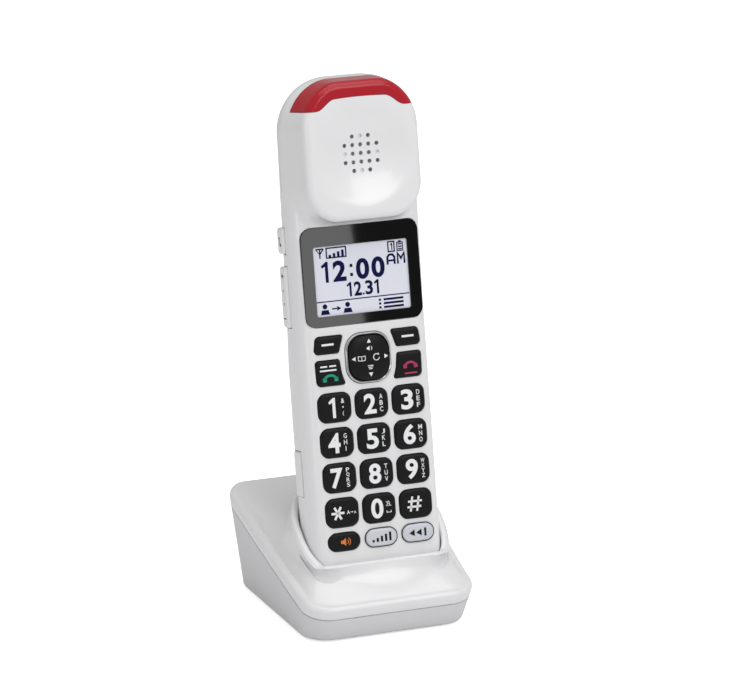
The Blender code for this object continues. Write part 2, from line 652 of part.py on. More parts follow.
def make_back_shell(parts, frame):
    big = HANDSET_LENGTH
    shell = body_form("back_shell", 0.0, parts["white_gloss"], frame)
    tray_low = (-TRAY_HALF - 2 * TRAY_WALL, TRAY_FLOOR_Y, TRAY_BOTTOM - 2 * COVER_OVERLAP)
    tray_high = (TRAY_HALF + 2 * TRAY_WALL, 2 * HANDSET_DEPTH, TRAY_TOP + 2 * COVER_OVERLAP)
    cavity = body_form("cavity", WALL)
    cut(cavity, box("tray_block", tray_low, tray_high))
    for _, x, z in case_screw_places():
        cut(cavity, cylinder("boss", (x, 0, z), 1, REAR_BOSS, SHELL_SEAM, 2 * HANDSET_DEPTH, 12))
    behind = seam_block("behind", GAP / 2, 2 * big)
    tray_front = box("tray_front", tray_low, (tray_high[0], SHELL_SEAM + WALL, tray_high[2]))
    join(behind, tray_front)
    cut(shell, cavity)
    keep(shell, behind)
    opening = box("opening", (-COVER_HALF - GAP, TRAY_TOP_Y, COVER_BOTTOM - GAP),
                  (COVER_HALF + GAP, 2 * HANDSET_DEPTH, COVER_TOP + GAP))
    room = box("room", (-TRAY_HALF, TRAY_FLOOR_Y + TRAY_WALL, TRAY_BOTTOM),
               (TRAY_HALF, 2 * HANDSET_DEPTH, TRAY_TOP))
    cut(shell, opening, room)
    for _, x, z in case_screw_places():
        seat = SCREW_HEAD[0] + GAP
        cut(shell, cylinder("head_seat", (x, 0, z), 1, seat, HANDSET_DEPTH - SCREW_SINK, big, 12))
        cut(shell, cylinder("shank_hole", (x, 0, z), 1, PILOT, 0, big, 10))
    for k in range(-1, 2):
        slot = key_outline(0, LOUDSPEAKER_Z + k * SLOT_PITCH, *SPEAKER_SLOT, SPEAKER_SLOT[1] / 2)
        cut(shell, face_prism("slot", slot, SHELL_SEAM + WALL, big))
    for side in (-1, 1):
        low, high = contact_box(side, CONTACT_HALF, -OUTSIDE, WALL + OUTSIDE, GAP)
        cut(shell, box("contact_hole", low, high))
    return smooth(shell)


def contact_box(side, half, low_z, high_z, grow=0.0):
    """Corners of a charging contact on one side, in the handset's axes."""
    x = side * CONTACT_SPACING / 2
    low = (x - half[0] - grow, CONTACT_Y - half[1] - grow, low_z)
    high = (x + half[0] + grow, CONTACT_Y + half[1] + grow, high_z)
    return low, high


def make_ringer_lens(parts, frame):
    lens = join(body_form("ringer_lens", 0.0, parts["lens_red"], frame), head_form("head", 0.0))
    back = LENS_DEPTH - HEAD_RISE
    keep(lens, face_prism("lens_area", lens_outline(0.0), -2 * HEAD_RISE, back))
    inner = join(body_form("inner", WALL), head_form("inner_head", WALL))
    cut(lens, inner)
    return smooth(lens)


# ---- handset controls ----
def make_keys(parts, frame):
    for name, spec in key_layout().items():
        key_cap(name, key_shape(spec), KEY_PROUD, KEY_DEPTH, parts[spec[5]], frame)


def make_navigation(parts, frame):
    ring = face_prism("nav_ring", nav_outline(GAP + NAV_TRIM), -KEY_PROUD, KEY_DEPTH,
                      parts["trim_chrome"], frame)
    smooth(cut(ring, face_prism("inside", nav_outline(GAP), -OUTSIDE, 2 * KEY_DEPTH)))
    key_cap("nav_key", nav_outline, NAV_PROUD, KEY_DEPTH, parts["key_black"], frame)
    smooth(cylinder("nav_hub", (0, 0, NAV_Z), 1, NAV_HUB_RADIUS, KEY_DEPTH + GAP, MAT_Y - GAP, 12,
                    parts["speaker_grey"], frame))


def make_side_controls(parts, frame):
    front, rear = SIDE_KEY_DEPTH
    places = {name: (low_z, high_z) for name, low_z, high_z in side_places()}
    for name, node in (("tone", "tone_key"), ("rocker", "volume_rocker")):
        low_z, high_z = places[name]
        rings = []
        for inset, behind in (*SOFT_EDGE, (0.0, SIDE_KEY_THICKNESS)):
            x = -HALF - SIDE_KEY_PROUD + behind
            shape = outline((front + inset, low_z + inset), (rear - inset, high_z - inset),
                            even(SIDE_KEY_CORNER), steps=2)
            rings.append([(x, y, z) for y, z in shape])
        smooth(loft(node, rings, parts["white_gloss"], frame), 50)
    low_z, high_z = places["jack"]
    radius = JACK_COVER_THICKNESS / 2
    centre_x = -HALF - JACK_COVER_PROUD + radius
    profile = [(centre_x - radius, low_z), (centre_x + radius, low_z)]
    for k in range(9):
        angle = math.pi * k / 8
        profile.append((centre_x + radius * math.cos(angle), high_z - radius + radius * math.sin(angle)))
    rings = [[(x, y, z) for x, z in profile] for y in SIDE_KEY_DEPTH]
    smooth(loft("jack_cover", rings, parts["white_gloss"], frame))
    middle_y = (front + rear) / 2
    middle_z = (low_z + high_z) / 2
    inner_x = centre_x + radius + GAP
    jack = box("headset_jack", (inner_x, front + GAP, middle_z - JACK_HALF_HEIGHT),
               (inner_x + JACK_LENGTH, rear - GAP, middle_z + JACK_HALF_HEIGHT),
               parts["speaker_grey"], frame)
    smooth(cut(jack, cylinder("bore", (0, middle_y, middle_z), 0, JACK_BORE,
                              inner_x - OUTSIDE, inner_x + JACK_LENGTH - WALL, 12)))


# ---- handset internals ----
def make_display(parts, frame):
    face_prism("display_window", display_outline(0.0), -GAP / 2, PLY - GAP / 2,
               parts["window_black"], frame)
    half = DISPLAY_HALF - SCREEN_SIDE + MODULE_EDGE
    low = (-half, WALL + GAP, DISPLAY_BOTTOM + SCREEN_BOTTOM - MODULE_EDGE)
    high = (half, BOARD_Y - GAP, DISPLAY_TOP - SCREEN_TOP + MODULE_EDGE)
    box("display_module", low, high, parts["screen"], frame)


def make_boards(parts, frame):
    half = HALF - WALL - BOARD_MARGIN
    low_z = WALL + BOARD_MARGIN
    waist = BOTTOM_CORNER + 2 * BOARD_MARGIN
    shoulder = HANDSET_LENGTH - TOP_CORNER
    top = HANDSET_LENGTH - WALL - BOARD_MARGIN
    neck = HALF - 0.6 * TOP_CORNER
    right = [(BOARD_FOOT_HALF, low_z), (BOARD_FOOT_HALF, waist), (half, waist), (half, shoulder),
             (neck, top)]
    board = face_prism("main_board", right + [(-x, z) for x, z in right[::-1]],
                       BOARD_Y, BOARD_Y + PLY, parts["board_green"], frame)
    jack_low, jack_high = [(low, high) for name, low, high in side_places() if name == "jack"][0]
    reach = -HALF + JACK_LENGTH + BOARD_MARGIN
    cut(board, box("notch", (-HALF, 0, jack_low + WALL), (reach, HANDSET_DEPTH, jack_high - WALL)))
    mat = outline((-half, LOWER_ROW_MARGIN - KEY_SPACE / 2),
                  (half, SOFT_KEY_Z + SOFT_KEY[1] / 2 + KEY_SPACE / 2), even(WALL), steps=2)
    face_prism("keypad_mat", mat, MAT_Y, MAT_Y + MAT_THICKNESS, parts["rubber_grey"], frame)
    front = BOARD_Y - GAP - LED_DEPTH
    low_z = top - 3 * LED_HALF
    box("ringer_led", (-LED_HALF, front, low_z), (LED_HALF, BOARD_Y - GAP, low_z + 2 * LED_HALF),
        parts["screen"], frame)


def make_sound(parts, frame):
    front = -HEAD_RISE + DISH_DEPTH + DISH_WALL + GAP
    rear = rear_depth(LOUDSPEAKER_Z + LOUDSPEAKER[0]) - WALL - 2 * GAP
    for name, z, (radius, depth), low, sides in (
            ("earpiece_speaker", DISH_Z, EARPIECE, front, 24),
            ("rear_loudspeaker", LOUDSPEAKER_Z, LOUDSPEAKER, rear - LOUDSPEAKER[1], 20),
            ("microphone", VOICE_HOLE_Z, MICROPHONE, WALL + GAP, 12)):
        smooth(cylinder(name, (0, 0, z), 1, radius, low, low + depth, sides,
                        parts["speaker_grey"], frame))


def coil(name, centre, radius, wire, length, turns, finish, parent):
    """A round wire wound along z from centre, ends open and capped."""
    steps = 10
    sides = 5
    rings = []
    for k in range(turns * steps + 1):
        turn = 2 * math.pi * k / steps
        shrink = radius * (1 - 0.35 * k / (turns * steps))
        middle = Vector((centre[0] + shrink * math.cos(turn), centre[1] + shrink * math.sin(turn),
                         centre[2] + length * k / (turns * steps)))
        out = Vector((math.cos(turn), math.sin(turn), 0.0))
        rings.append([middle + wire * (math.cos(2 * math.pi * s / sides) * out
                                       + math.sin(2 * math.pi * s / sides) * Vector((0, 0, 1)))
                      for s in range(sides)])
    return smooth(loft(name, rings, finish, parent), 80)


def make_power(parts, frame):
    metal = parts["contact_metal"]
    cell_top = CELL_FOOT + CELL_LENGTH
    for side, hand in ((-1, "left"), (1, "right")):
        x = side * CELL_X
        cell = cylinder("battery_cell_" + hand, (x, CELL_Y, 0), 2, CELL_RADIUS, CELL_FOOT,
                        cell_top - NUB[1], 16, parts["cell_green"], frame)
        smooth(join(cell, cylinder("nub", (x, CELL_Y, 0), 2, NUB[0], CELL_FOOT + NUB[1], cell_top, 12)))
    low = CELL_FOOT - GAP - PLY / 2
    high = TRAY_TOP - GAP
    for name, reach, x, z in (("battery_bridge", CELL_X + PLATE_HALF, 0.0, low),
                              ("battery_tab", PLATE_HALF, CELL_X, high - PLY / 2)):
        box(name, (x - reach, CELL_Y - PLATE_HALF, z), (x + reach, CELL_Y + PLATE_HALF, z + PLY / 2),
            metal, frame)
    start = cell_top + GAP + SPRING_WIRE
    coil("battery_spring", (-CELL_X, CELL_Y, start), SPRING_RADIUS, SPRING_WIRE,
         high - start - SPRING_WIRE, SPRING_TURNS, metal, frame)
    for side, hand in ((-1, "left"), (1, "right")):
        low, high = contact_box(side, CONTACT_HALF, CONTACT_RECESS, WALL)
        box("handset_contact_" + hand, low, high, metal, frame)
    for hand, x, z in case_screw_places():
        head = HANDSET_DEPTH - SCREW_SINK + GAP
        screw = cylinder("case_screw_" + hand, (x, 0, z), 1, SCREW_HEAD[0], head, head + SCREW_HEAD[1],
                         12, parts["screw_steel"], frame)
        tip = SHELL_SEAM / 2 + GAP
        smooth(join(screw, cylinder("shank", (x, 0, z), 1, SHANK, tip, head + SCREW_HEAD[1] / 2, 10)))


# ---- charging base ----
def base_outline(height, inset):
    """The base's outline at a height, moved in by an inset."""
    half = HALF + BASE_MARGIN + BASE_DRAFT[0] * height - inset
    low = (-half, BASE_Y[0] - BASE_DRAFT[1] * height + inset)
    high = (half, BASE_Y[1] + BASE_DRAFT[2] * height - inset)
    front, rear = [corner - min(inset, corner / 2) for corner in BASE_CORNER]
    return outline(low, high, [(front, front)] * 2 + [(rear, rear)] * 2)


def seam_height(y):
    """Height of the base's seam: low at the front, high at the rear."""
    front = BASE_Y[0] - BASE_DRAFT[1] * SEAM_FRONT
    rear = BASE_Y[1] + BASE_DRAFT[2] * (SEAM_FRONT + SEAM_RISE)
    share = (y - front) / (rear - front)
    return SEAM_FRONT + SEAM_RISE * min(max(share, 0.0), 1.0) ** SEAM_BEND


def base_ring(lift, inset):
    """A ring on the base's wall that follows the seam, raised by lift and moved in by inset."""
    ring = []
    for i in range(4 * (CORNER_STEPS + 1)):
        height = SEAM_FRONT
        for _ in range(4):
            x, y = base_outline(height, inset)[i]
            height = seam_height(y) + lift
        ring.append(Vector((x, y, height)))
    return ring


def flat_ring(height, inset):
    return [Vector((x, y, height)) for x, y in base_outline(height, inset)]


def pocket_ring(grow, along):
    """A ring round the docked handset, grown by a clearance; along(depth) is its height on it."""
    low = (-HALF - grow, -grow)
    high = (HALF + grow, HANDSET_DEPTH + grow)
    front = (FRONT_EDGE[0] + grow, FRONT_EDGE[1] + grow)
    rear = (REAR_EDGE + grow, REAR_EDGE + grow)
    points = outline(low, high, [front, front, rear, rear])
    return [DOCK @ Vector((x, y, along(y))) for x, y in points]


def rim_height(depth):
    return RIM_FRONT + RIM_SLOPE * min(max(depth, 0.0), HANDSET_DEPTH)


def collar_height(depth):
    share = min(max(depth / HANDSET_DEPTH, 0.0), 1.0)
    return rim_height(depth) - COLLAR_STEP - COLLAR_DROP * share * share


def blend_rings(low, high, share, dip):
    """A ring between two, sinking by dip towards the rear of the base."""
    ring = []
    for a, b in zip(low, high):
        point = a.lerp(b, share)
        rearness = min(max((a.y - FOOT_POINT.y) / (BASE_Y[1] - FOOT_POINT.y), 0.0), 1.0)
        point.z -= dip * math.sin(math.pi * share) * (1 + 2 * rearness) / 3
        ring.append(point)
    return ring


def under_rim(fall):
    """Height maker for a ring a little below the pocket's rim."""
    return lambda depth: rim_height(depth) - fall


def make_top_shell(parts):
    edge = SHOULDER_EDGE
    shoulder = base_ring(SHOULDER, WALL + edge / 2)
    collar = pocket_ring(POCKET_CLEARANCE + COLLAR, collar_height)
    inner_shoulder = base_ring(SHOULDER - WALL, WALL + edge)
    inner_collar = pocket_ring(POCKET_CLEARANCE + WALL + 2 * GAP,
                               lambda depth: collar_height(depth) - 1.6 * WALL)
    rings = [
        pocket_ring(POCKET_CLEARANCE + WALL, lambda depth: -POCKET_FLOOR - WALL),
        inner_collar,
        blend_rings(inner_shoulder, inner_collar, 0.5, SCOOP),
        inner_shoulder,
        base_ring(SHOULDER - 0.6 * edge - WALL, WALL),
        base_ring(GAP / 2, WALL),
        base_ring(GAP / 2, 0.0),
        base_ring(SHOULDER - edge, 0.0),
        base_ring(SHOULDER - 0.45 * edge, edge * 0.16),
        base_ring(SHOULDER - 0.12 * edge, edge * 0.5),
        shoulder,
        blend_rings(shoulder, collar, 1 / 3, SCOOP),
        blend_rings(shoulder, collar, 2 / 3, SCOOP),
        collar,
        pocket_ring(POCKET_CLEARANCE + LIP, under_rim(RIM_SOFTNESS)),
        pocket_ring(POCKET_CLEARANCE + LIP / 2, rim_height),
        pocket_ring(POCKET_CLEARANCE, under_rim(RIM_SOFTNESS)),
        pocket_ring(POCKET_CLEARANCE, lambda depth: -POCKET_FLOOR),
    ]
    shell = loft("charger_top_shell", rings, parts["base_gloss"])
    for _, x, y in base_screw_places():
        foot = FOOT_HEIGHT + WALL + 2 * GAP
        roof = seam_height(y) + SHOULDER - WALL
        join(shell, cylinder("boss", (x, y, 0), 2, BASE_BOSS, foot, roof, 10))
        cut(shell, cylinder("pilot", (x, y, 0), 2, PILOT, 0.0, BASE_SCREW_TOP + GAP, 10))
    for side in (-1, 1):
        low, high = contact_box(side, TONGUE_HALF, -2 * WALL - OUTSIDE, OUTSIDE, GAP)
        slot = box("slot", low, high)
        slot.matrix_world = DOCK
        cut(shell, slot)
    return smooth(shell)


def base_screw_places():
    for side, hand in ((-1, "left"), (1, "right")):
        across, back = BASE_SCREW_OFFSET
        yield hand, side * (INLET_HALF[0] + across), BASE_Y[1] - back


def foot_places():
    inset = FOOT_RADIUS + FOOT_MARGIN
    for depth, y in (("front", BASE_Y[0] + inset), ("rear", BASE_Y[1] - inset)):
        for side, hand in ((-1, "left"), (1, "right")):
            yield f"foot_{depth}_{hand}", side * (HALF + BASE_MARGIN - inset), y


def make_bottom_shell(parts):
    seat_top = FOOT_HEIGHT + FOOT_SEAT
    rings = [
        flat_ring(FOOT_HEIGHT, FLOOR_EDGE),
        flat_ring(FOOT_HEIGHT + FLOOR_EDGE, 0.0),
        base_ring(-GAP / 2, 0.0),
        base_ring(-GAP / 2, WALL),
        flat_ring(FOOT_HEIGHT + WALL, WALL),
    ]
    shell = loft("charger_bottom_shell", rings, parts["base_lower"])
    for _, x, y in base_screw_places():
        cut(shell, cylinder("seat", (x, y, 0), 2, BASE_SCREW_HEAD + GAP, 0.0, seat_top, 12))
        cut(shell, cylinder("hole", (x, y, 0), 2, PILOT, 0.0, 2 * WALL + seat_top, 10))
    for _, x, y in foot_places():
        cut(shell, cylinder("seat", (x, y, 0), 2, FOOT_RADIUS + GAP, 0.0, seat_top, 16))
    low, high = inlet_box()
    cut(shell, box("inlet_hole", (low[0] - GAP, high[1] - 3 * WALL, low[2] - GAP),
                   (high[0] + GAP, high[1] + OUTSIDE, high[2] + GAP)))
    return smooth(shell)


def inlet_box():
    """Corners of the power inlet, whose mouth is flush with the base's rear wall."""
    low_z = FOOT_HEIGHT + WALL + 2 * GAP
    mouth = BASE_Y[1] + BASE_DRAFT[2] * low_z
    low = (INLET_X - INLET_HALF[0], mouth - INLET_DEPTH, low_z)
    return low, (INLET_X + INLET_HALF[0], mouth, low_z + 2 * INLET_HALF[1])


def make_base_internals(parts):
    low, high = inlet_box()
    mouth = high[1]
    spot = (INLET_X, 0, (low[2] + high[2]) / 2)
    inlet = box("dc_inlet", low, high, parts["speaker_grey"])
    bottom = mouth - INLET_SOCKET[1]
    cut(inlet, cylinder("socket", spot, 1, INLET_SOCKET[0], bottom, mouth + OUTSIDE, 14))
    root = bottom - GAP
    smooth(join(inlet, cylinder("pin", spot, 1, INLET_PIN[0], root, mouth - INLET_PIN[1], 10)))
    deck = FOOT_HEIGHT + WALL + GAP
    rear = low[1] - 2 * WALL
    half = BASE_BOARD[0] / 2
    box("charger_board", (-half, rear - BASE_BOARD[1], deck), (half, rear, deck + PLY),
        parts["board_green"])
    foot = -POCKET_FLOOR - WALL - CONTACT_TRAVEL - 2 * GAP - TONGUE_ROOT
    for side, hand in ((-1, "left"), (1, "right")):
        low, high = contact_box(side, TONGUE_HALF, foot, CONTACT_RECESS - GAP)
        tongue = box("charge_contact_" + hand, low, high, parts["contact_metal"])
        tongue.matrix_world = DOCK
    seat_top = FOOT_HEIGHT + FOOT_SEAT - GAP
    for name, x, y in foot_places():
        smooth(cylinder(name, (x, y, 0), 2, FOOT_RADIUS, 0.0, seat_top, 16, parts["rubber_grey"]))
    for hand, x, y in base_screw_places():
        screw = cylinder("charger_screw_" + hand, (x, y, 0), 2, BASE_SCREW_HEAD, FOOT_HEIGHT, seat_top,
                         12, parts["screw_steel"])
        smooth(join(screw, cylinder("shank", (x, y, 0), 2, SHANK, seat_top - GAP, BASE_SCREW_TOP, 10)))


# ---- joint axes ----
def set_origin(name, point):
    """Moves an object's origin to its joint, leaving the mesh where it is."""
    obj = bpy.data.objects[name]
    obj.data.transform(Matrix.Translation(-Vector(point)))
    obj.location = Vector(point)


def set_joint_origins():
    middle_y = sum(SIDE_KEY_DEPTH) / 2
    places = {name: (low_z, high_z) for name, low_z, high_z in side_places()}
    rocker = places["rocker"]
    set_origin("volume_rocker", (-HALF + SIDE_KEY_THICKNESS / 2, middle_y, sum(rocker) / 2))
    set_origin("jack_cover", (-HALF - JACK_COVER_PROUD + JACK_COVER_THICKNESS / 2, middle_y,
                              places["jack"][1] - JACK_COVER_THICKNESS / 2))
    pivot_z = COVER_BOTTOM + COVER_THICKNESS / 2
    set_origin("battery_cover", (0, rear_depth(pivot_z) - COVER_THICKNESS / 2, pivot_z))
    set_origin("nav_key", (0, KEY_DEPTH, NAV_Z))
    set_origin("nav_hub", (0, KEY_DEPTH, NAV_Z))
    for name, spec in key_layout().items():
        set_origin(name, (spec[0], 0, spec[1]))


def centre_on_footprint():
    """Moves the whole object so that the origin is the middle of its box, on the table."""
    bpy.context.view_layer.update()
    solids = [obj for obj in bpy.data.objects if obj.type == "MESH"]
    spots = [obj.matrix_world @ vert.co for obj in solids for vert in obj.data.vertices]
    middle = (min(p.y for p in spots) + max(p.y for p in spots)) / 2
    for obj in bpy.data.objects:
        if obj.parent is None:
            obj.matrix_world = Matrix.Translation((0, -middle, 0)) @ obj.matrix_world


def main():
    clear_scene()
    parts = make_materials()
    frame = bpy.data.objects.new("handset_axes", None)
    bpy.context.collection.objects.link(frame)
    make_front_shell(parts, frame)
    make_back_shell(parts, frame)
    make_battery_cover(parts, frame)
    make_ringer_lens(parts, frame)
    make_keys(parts, frame)
    make_navigation(parts, frame)
    make_side_controls(parts, frame)
    make_display(parts, frame)
    make_boards(parts, frame)
    make_sound(parts, frame)
    make_power(parts, frame)
    set_joint_origins()
    frame.matrix_world = DOCK
    make_top_shell(parts)
    make_bottom_shell(parts)
    make_base_internals(parts)
    centre_on_footprint()


main()
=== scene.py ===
# %% [markdown]
# A cordless telephone standing in its charging base, dressed for a studio render.
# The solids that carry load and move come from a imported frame; this lesson builds the visible skins,
# keys, prints and finishes around them. Every length is in metres.

# %% Load the frame
import json
import math
from contextlib import contextmanager

import bmesh
import bpy
import numpy as np
from mathutils import Matrix, Vector


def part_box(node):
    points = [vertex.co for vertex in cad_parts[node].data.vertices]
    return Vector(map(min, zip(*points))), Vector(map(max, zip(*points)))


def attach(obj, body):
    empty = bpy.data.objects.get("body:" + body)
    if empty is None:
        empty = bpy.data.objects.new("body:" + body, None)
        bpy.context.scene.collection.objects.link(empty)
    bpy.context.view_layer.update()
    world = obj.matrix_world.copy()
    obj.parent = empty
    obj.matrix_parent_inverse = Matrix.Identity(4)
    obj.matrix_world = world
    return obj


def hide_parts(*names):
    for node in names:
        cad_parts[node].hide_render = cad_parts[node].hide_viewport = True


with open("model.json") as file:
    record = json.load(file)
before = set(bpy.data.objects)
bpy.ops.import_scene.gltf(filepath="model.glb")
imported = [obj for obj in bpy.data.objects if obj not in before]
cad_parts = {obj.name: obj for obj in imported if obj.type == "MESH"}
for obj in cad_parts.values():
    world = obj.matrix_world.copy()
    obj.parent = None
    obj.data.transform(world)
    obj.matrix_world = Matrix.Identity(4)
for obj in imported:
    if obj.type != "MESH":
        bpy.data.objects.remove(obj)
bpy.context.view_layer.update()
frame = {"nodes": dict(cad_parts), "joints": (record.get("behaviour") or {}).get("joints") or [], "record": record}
joints = {joint["name"]: joint for joint in frame["joints"]}
slot_of = {part["node"]: part["material_slot"] for part in frame["record"]["subparts"]}
print("pieces in the frame:", len(frame["nodes"]))

# %% [markdown]
# The handset leans back in its base. It is easiest to model it upright: x across, y back from the key
# face, z up its length. One matrix then leans every finished mesh into place. The direction comes from
# the joint that lifts the handset, and the place from the pivot of the navigation key.

# %% The handset's own axes
NAV_Z = 0.0880
KEY_DEPTH = 0.0026
along = Vector(joints["handset_lift"]["axis"])
depth = Vector((1, 0, 0)).cross(along) * -1
pivot = Vector(joints["nav_up_down"]["pos_m"])
foot_point = pivot - along * NAV_Z - depth * KEY_DEPTH
DOCK = Matrix.Translation(foot_point) @ Matrix((Vector((1, 0, 0)), depth, along)).transposed().to_4x4()
print("handset foot:", [round(v, 4) for v in foot_point], "lean:", round(math.degrees(math.asin(along.y)), 1))

# %% [markdown]
# The camera comes early, before the pieces are made. A long lens from a little
# above and to the left keeps the upright lines of the handset nearly parallel.

# %% Camera
AZIMUTH = math.radians(22.185)
ELEVATION = math.radians(16.385)
DISTANCE = 1.695
aim = Vector((-0.0044, foot_point.y + 0.00587, 0.1121))
forward = Vector((math.sin(AZIMUTH) * math.cos(ELEVATION), math.cos(AZIMUTH) * math.cos(ELEVATION),
                  -math.sin(ELEVATION)))
camera = bpy.data.objects.new("camera", bpy.data.cameras.new("camera"))
camera.data.lens = 223.9
camera.data.sensor_width = 36.0
camera.location = aim - forward * DISTANCE
camera.rotation_euler = forward.to_track_quat("-Z", "Y").to_euler()
camera.data.clip_end = 50
bpy.context.scene.collection.objects.link(camera)
bpy.context.scene.camera = camera
print("camera at:", [round(v, 3) for v in camera.location])

# %% [markdown]
# White plastic needs soft light that still models its curves. A large panel overhead gives the tops
# and the floor their brightness, a panel at the front right fills the key face, and a narrow panel
# further right is there only for its reflection in the glossy display window.

# %% Studio
scene = bpy.context.scene
scene.view_settings.view_transform = "Standard"
world = bpy.data.worlds.new("studio")
scene.world = world
world.use_nodes = True
world.node_tree.nodes["Background"].inputs["Color"].default_value = (1, 1, 1, 1)
world.node_tree.nodes["Background"].inputs["Strength"].default_value = 0.42


def panel(name, centre, target, width, height, glow):
    """A soft light: glow is how bright its face looks."""
    light = bpy.data.lights.new(name, "AREA")
    light.shape = "RECTANGLE"
    light.size = width
    light.size_y = height
    light.energy = glow * math.pi * width * height
    holder = bpy.data.objects.new(name, light)
    holder.location = centre
    holder.rotation_euler = (Vector(target) - Vector(centre)).to_track_quat("-Z", "Y").to_euler()
    holder.visible_camera = False
    scene.collection.objects.link(holder)
    return holder


panel("overhead_panel", (0.15, -0.25, 1.50), (0, 0, 0.05), 1.4, 1.4, 1.75)
panel("front_panel", (0.45, -1.45, 1.15), (0, 0, 0.10), 1.0, 0.8, 3.1)
panel("left_panel", (-1.15, -0.52, 0.30), (0, 0, 0.12), 0.20, 0.9, 2.6)
reflection = panel("display_panel", (0.157, -0.775, 0.17), (0.157, 0, 0.17), 0.28, 0.6, 12.0)

# %% [markdown]
# Moulded plastic is never one flat colour: it has a fine spark-eroded grain, patches that are a touch
# glossier, and edges polished by hands. One shader node group makes those three effects for every
# finish; each material feeds it its own values, and keeps its shader outside the group.

# %% Shared finish group
PATCH_SCALE = 90.0
EDGE_START, EDGE_FULL = 0.58, 0.80


def make_finish_group():
    """Grain, glossier patches and polished edges; every amount is a named input."""
    group = bpy.data.node_groups.new("moulded_finish", "ShaderNodeTree")
    for name, kind, value in (("Colour", "NodeSocketColor", (1, 1, 1, 1)),
                              ("Worn Colour", "NodeSocketColor", (1, 1, 1, 1)),
                              ("Roughness", "NodeSocketFloat", 0.3),
                              ("Roughness Spread", "NodeSocketFloat", 0.08),
                              ("Grain Scale", "NodeSocketFloat", 4000.0),
                              ("Wear", "NodeSocketFloat", 0.2)):
        group.interface.new_socket(name, in_out="INPUT", socket_type=kind).default_value = value
    for name, kind in (("Colour", "NodeSocketColor"), ("Roughness", "NodeSocketFloat"),
                       ("Height", "NodeSocketFloat")):
        group.interface.new_socket(name, in_out="OUTPUT", socket_type=kind)
    nodes, wire = group.nodes, group.links.new
    source, sink = nodes.new("NodeGroupInput").outputs, nodes.new("NodeGroupOutput").inputs
    place = nodes.new("ShaderNodeTexCoord").outputs["Object"]

    def noise(detail, scale):
        made = nodes.new("ShaderNodeTexNoise")
        made.inputs["Detail"].default_value = detail
        made.inputs["Scale"].default_value = scale
        wire(place, made.inputs["Vector"])
        return made

    def reckon(operation, *values):
        """A maths node fed with sockets and plain numbers."""
        made = nodes.new("ShaderNodeMath")
        made.operation = operation
        for socket, value in zip(made.inputs, values):
            if isinstance(value, float):
                socket.default_value = value
            else:
                wire(value, socket)
        return made.outputs[0]

    grain, patches = noise(3, PATCH_SCALE), noise(4, PATCH_SCALE)
    wire(source["Grain Scale"], grain.inputs["Scale"])
    spread = reckon("SUBTRACT", patches.outputs["Fac"], 0.5)
    rough = reckon("MULTIPLY_ADD", spread, source["Roughness Spread"], source["Roughness"])
    edges = nodes.new("ShaderNodeMapRange")
    edges.inputs["From Min"].default_value = EDGE_START
    edges.inputs["From Max"].default_value = EDGE_FULL
    wire(nodes.new("ShaderNodeNewGeometry").outputs["Pointiness"], edges.inputs["Value"])
    broken = reckon("MULTIPLY", edges.outputs[0], patches.outputs["Fac"])
    tint = nodes.new("ShaderNodeMix")
    tint.data_type = "RGBA"
    wire(reckon("MULTIPLY", broken, source["Wear"]), tint.inputs["Factor"])
    wire(source["Colour"], tint.inputs["A"])
    wire(source["Worn Colour"], tint.inputs["B"])
    wire(tint.outputs["Result"], sink["Colour"])
    wire(rough, sink["Roughness"])
    wire(grain.outputs["Fac"], sink["Height"])
    return group


finish_group = make_finish_group()
print("finish group outputs:", [s.name for s in finish_group.interface.items_tree if s.in_out == "OUTPUT"])

# %% [markdown]
# Each moulding, metal and ink gets a material of its own. All could be tuned by hand one by one, but a
# function that takes the few values that differ keeps them alike: two colours, a gloss, and options
# such as a clear coat. The parts of the frame take the material that the frame's record names.

# %% Materials
def finish(name, colour, worn, roughness, grain=4000.0, relief=0.00001, spread=0.04, wear=0.2, **sockets):
    """A material: the shared group drives colour, roughness and bump; constants sit on the shader."""
    made = bpy.data.materials.new(name)
    made.use_nodes = True
    tree = made.node_tree
    shader = tree.nodes["Principled BSDF"]
    group = tree.nodes.new("ShaderNodeGroup")
    group.node_tree = finish_group
    for socket, value in (("Colour", (*colour, 1)), ("Worn Colour", (*worn, 1)), ("Roughness", roughness),
                          ("Roughness Spread", spread), ("Grain Scale", grain), ("Wear", wear)):
        group.inputs[socket].default_value = value
    bump = tree.nodes.new("ShaderNodeBump")
    bump.inputs["Strength"].default_value = 0.35
    bump.inputs["Distance"].default_value = relief
    tree.links.new(group.outputs["Height"], bump.inputs["Height"])
    tree.links.new(group.outputs["Colour"], shader.inputs["Base Color"])
    tree.links.new(group.outputs["Roughness"], shader.inputs["Roughness"])
    tree.links.new(bump.outputs["Normal"], shader.inputs["Normal"])
    for socket, value in sockets.items():
        shader.inputs[socket.replace("_", " ").title().replace("Ior", "IOR")].default_value = value
    return made


def grey(value):
    return (value, value, value * 1.01)


CLEAR_COAT = {"coat_weight": 0.5, "coat_roughness": 0.12}
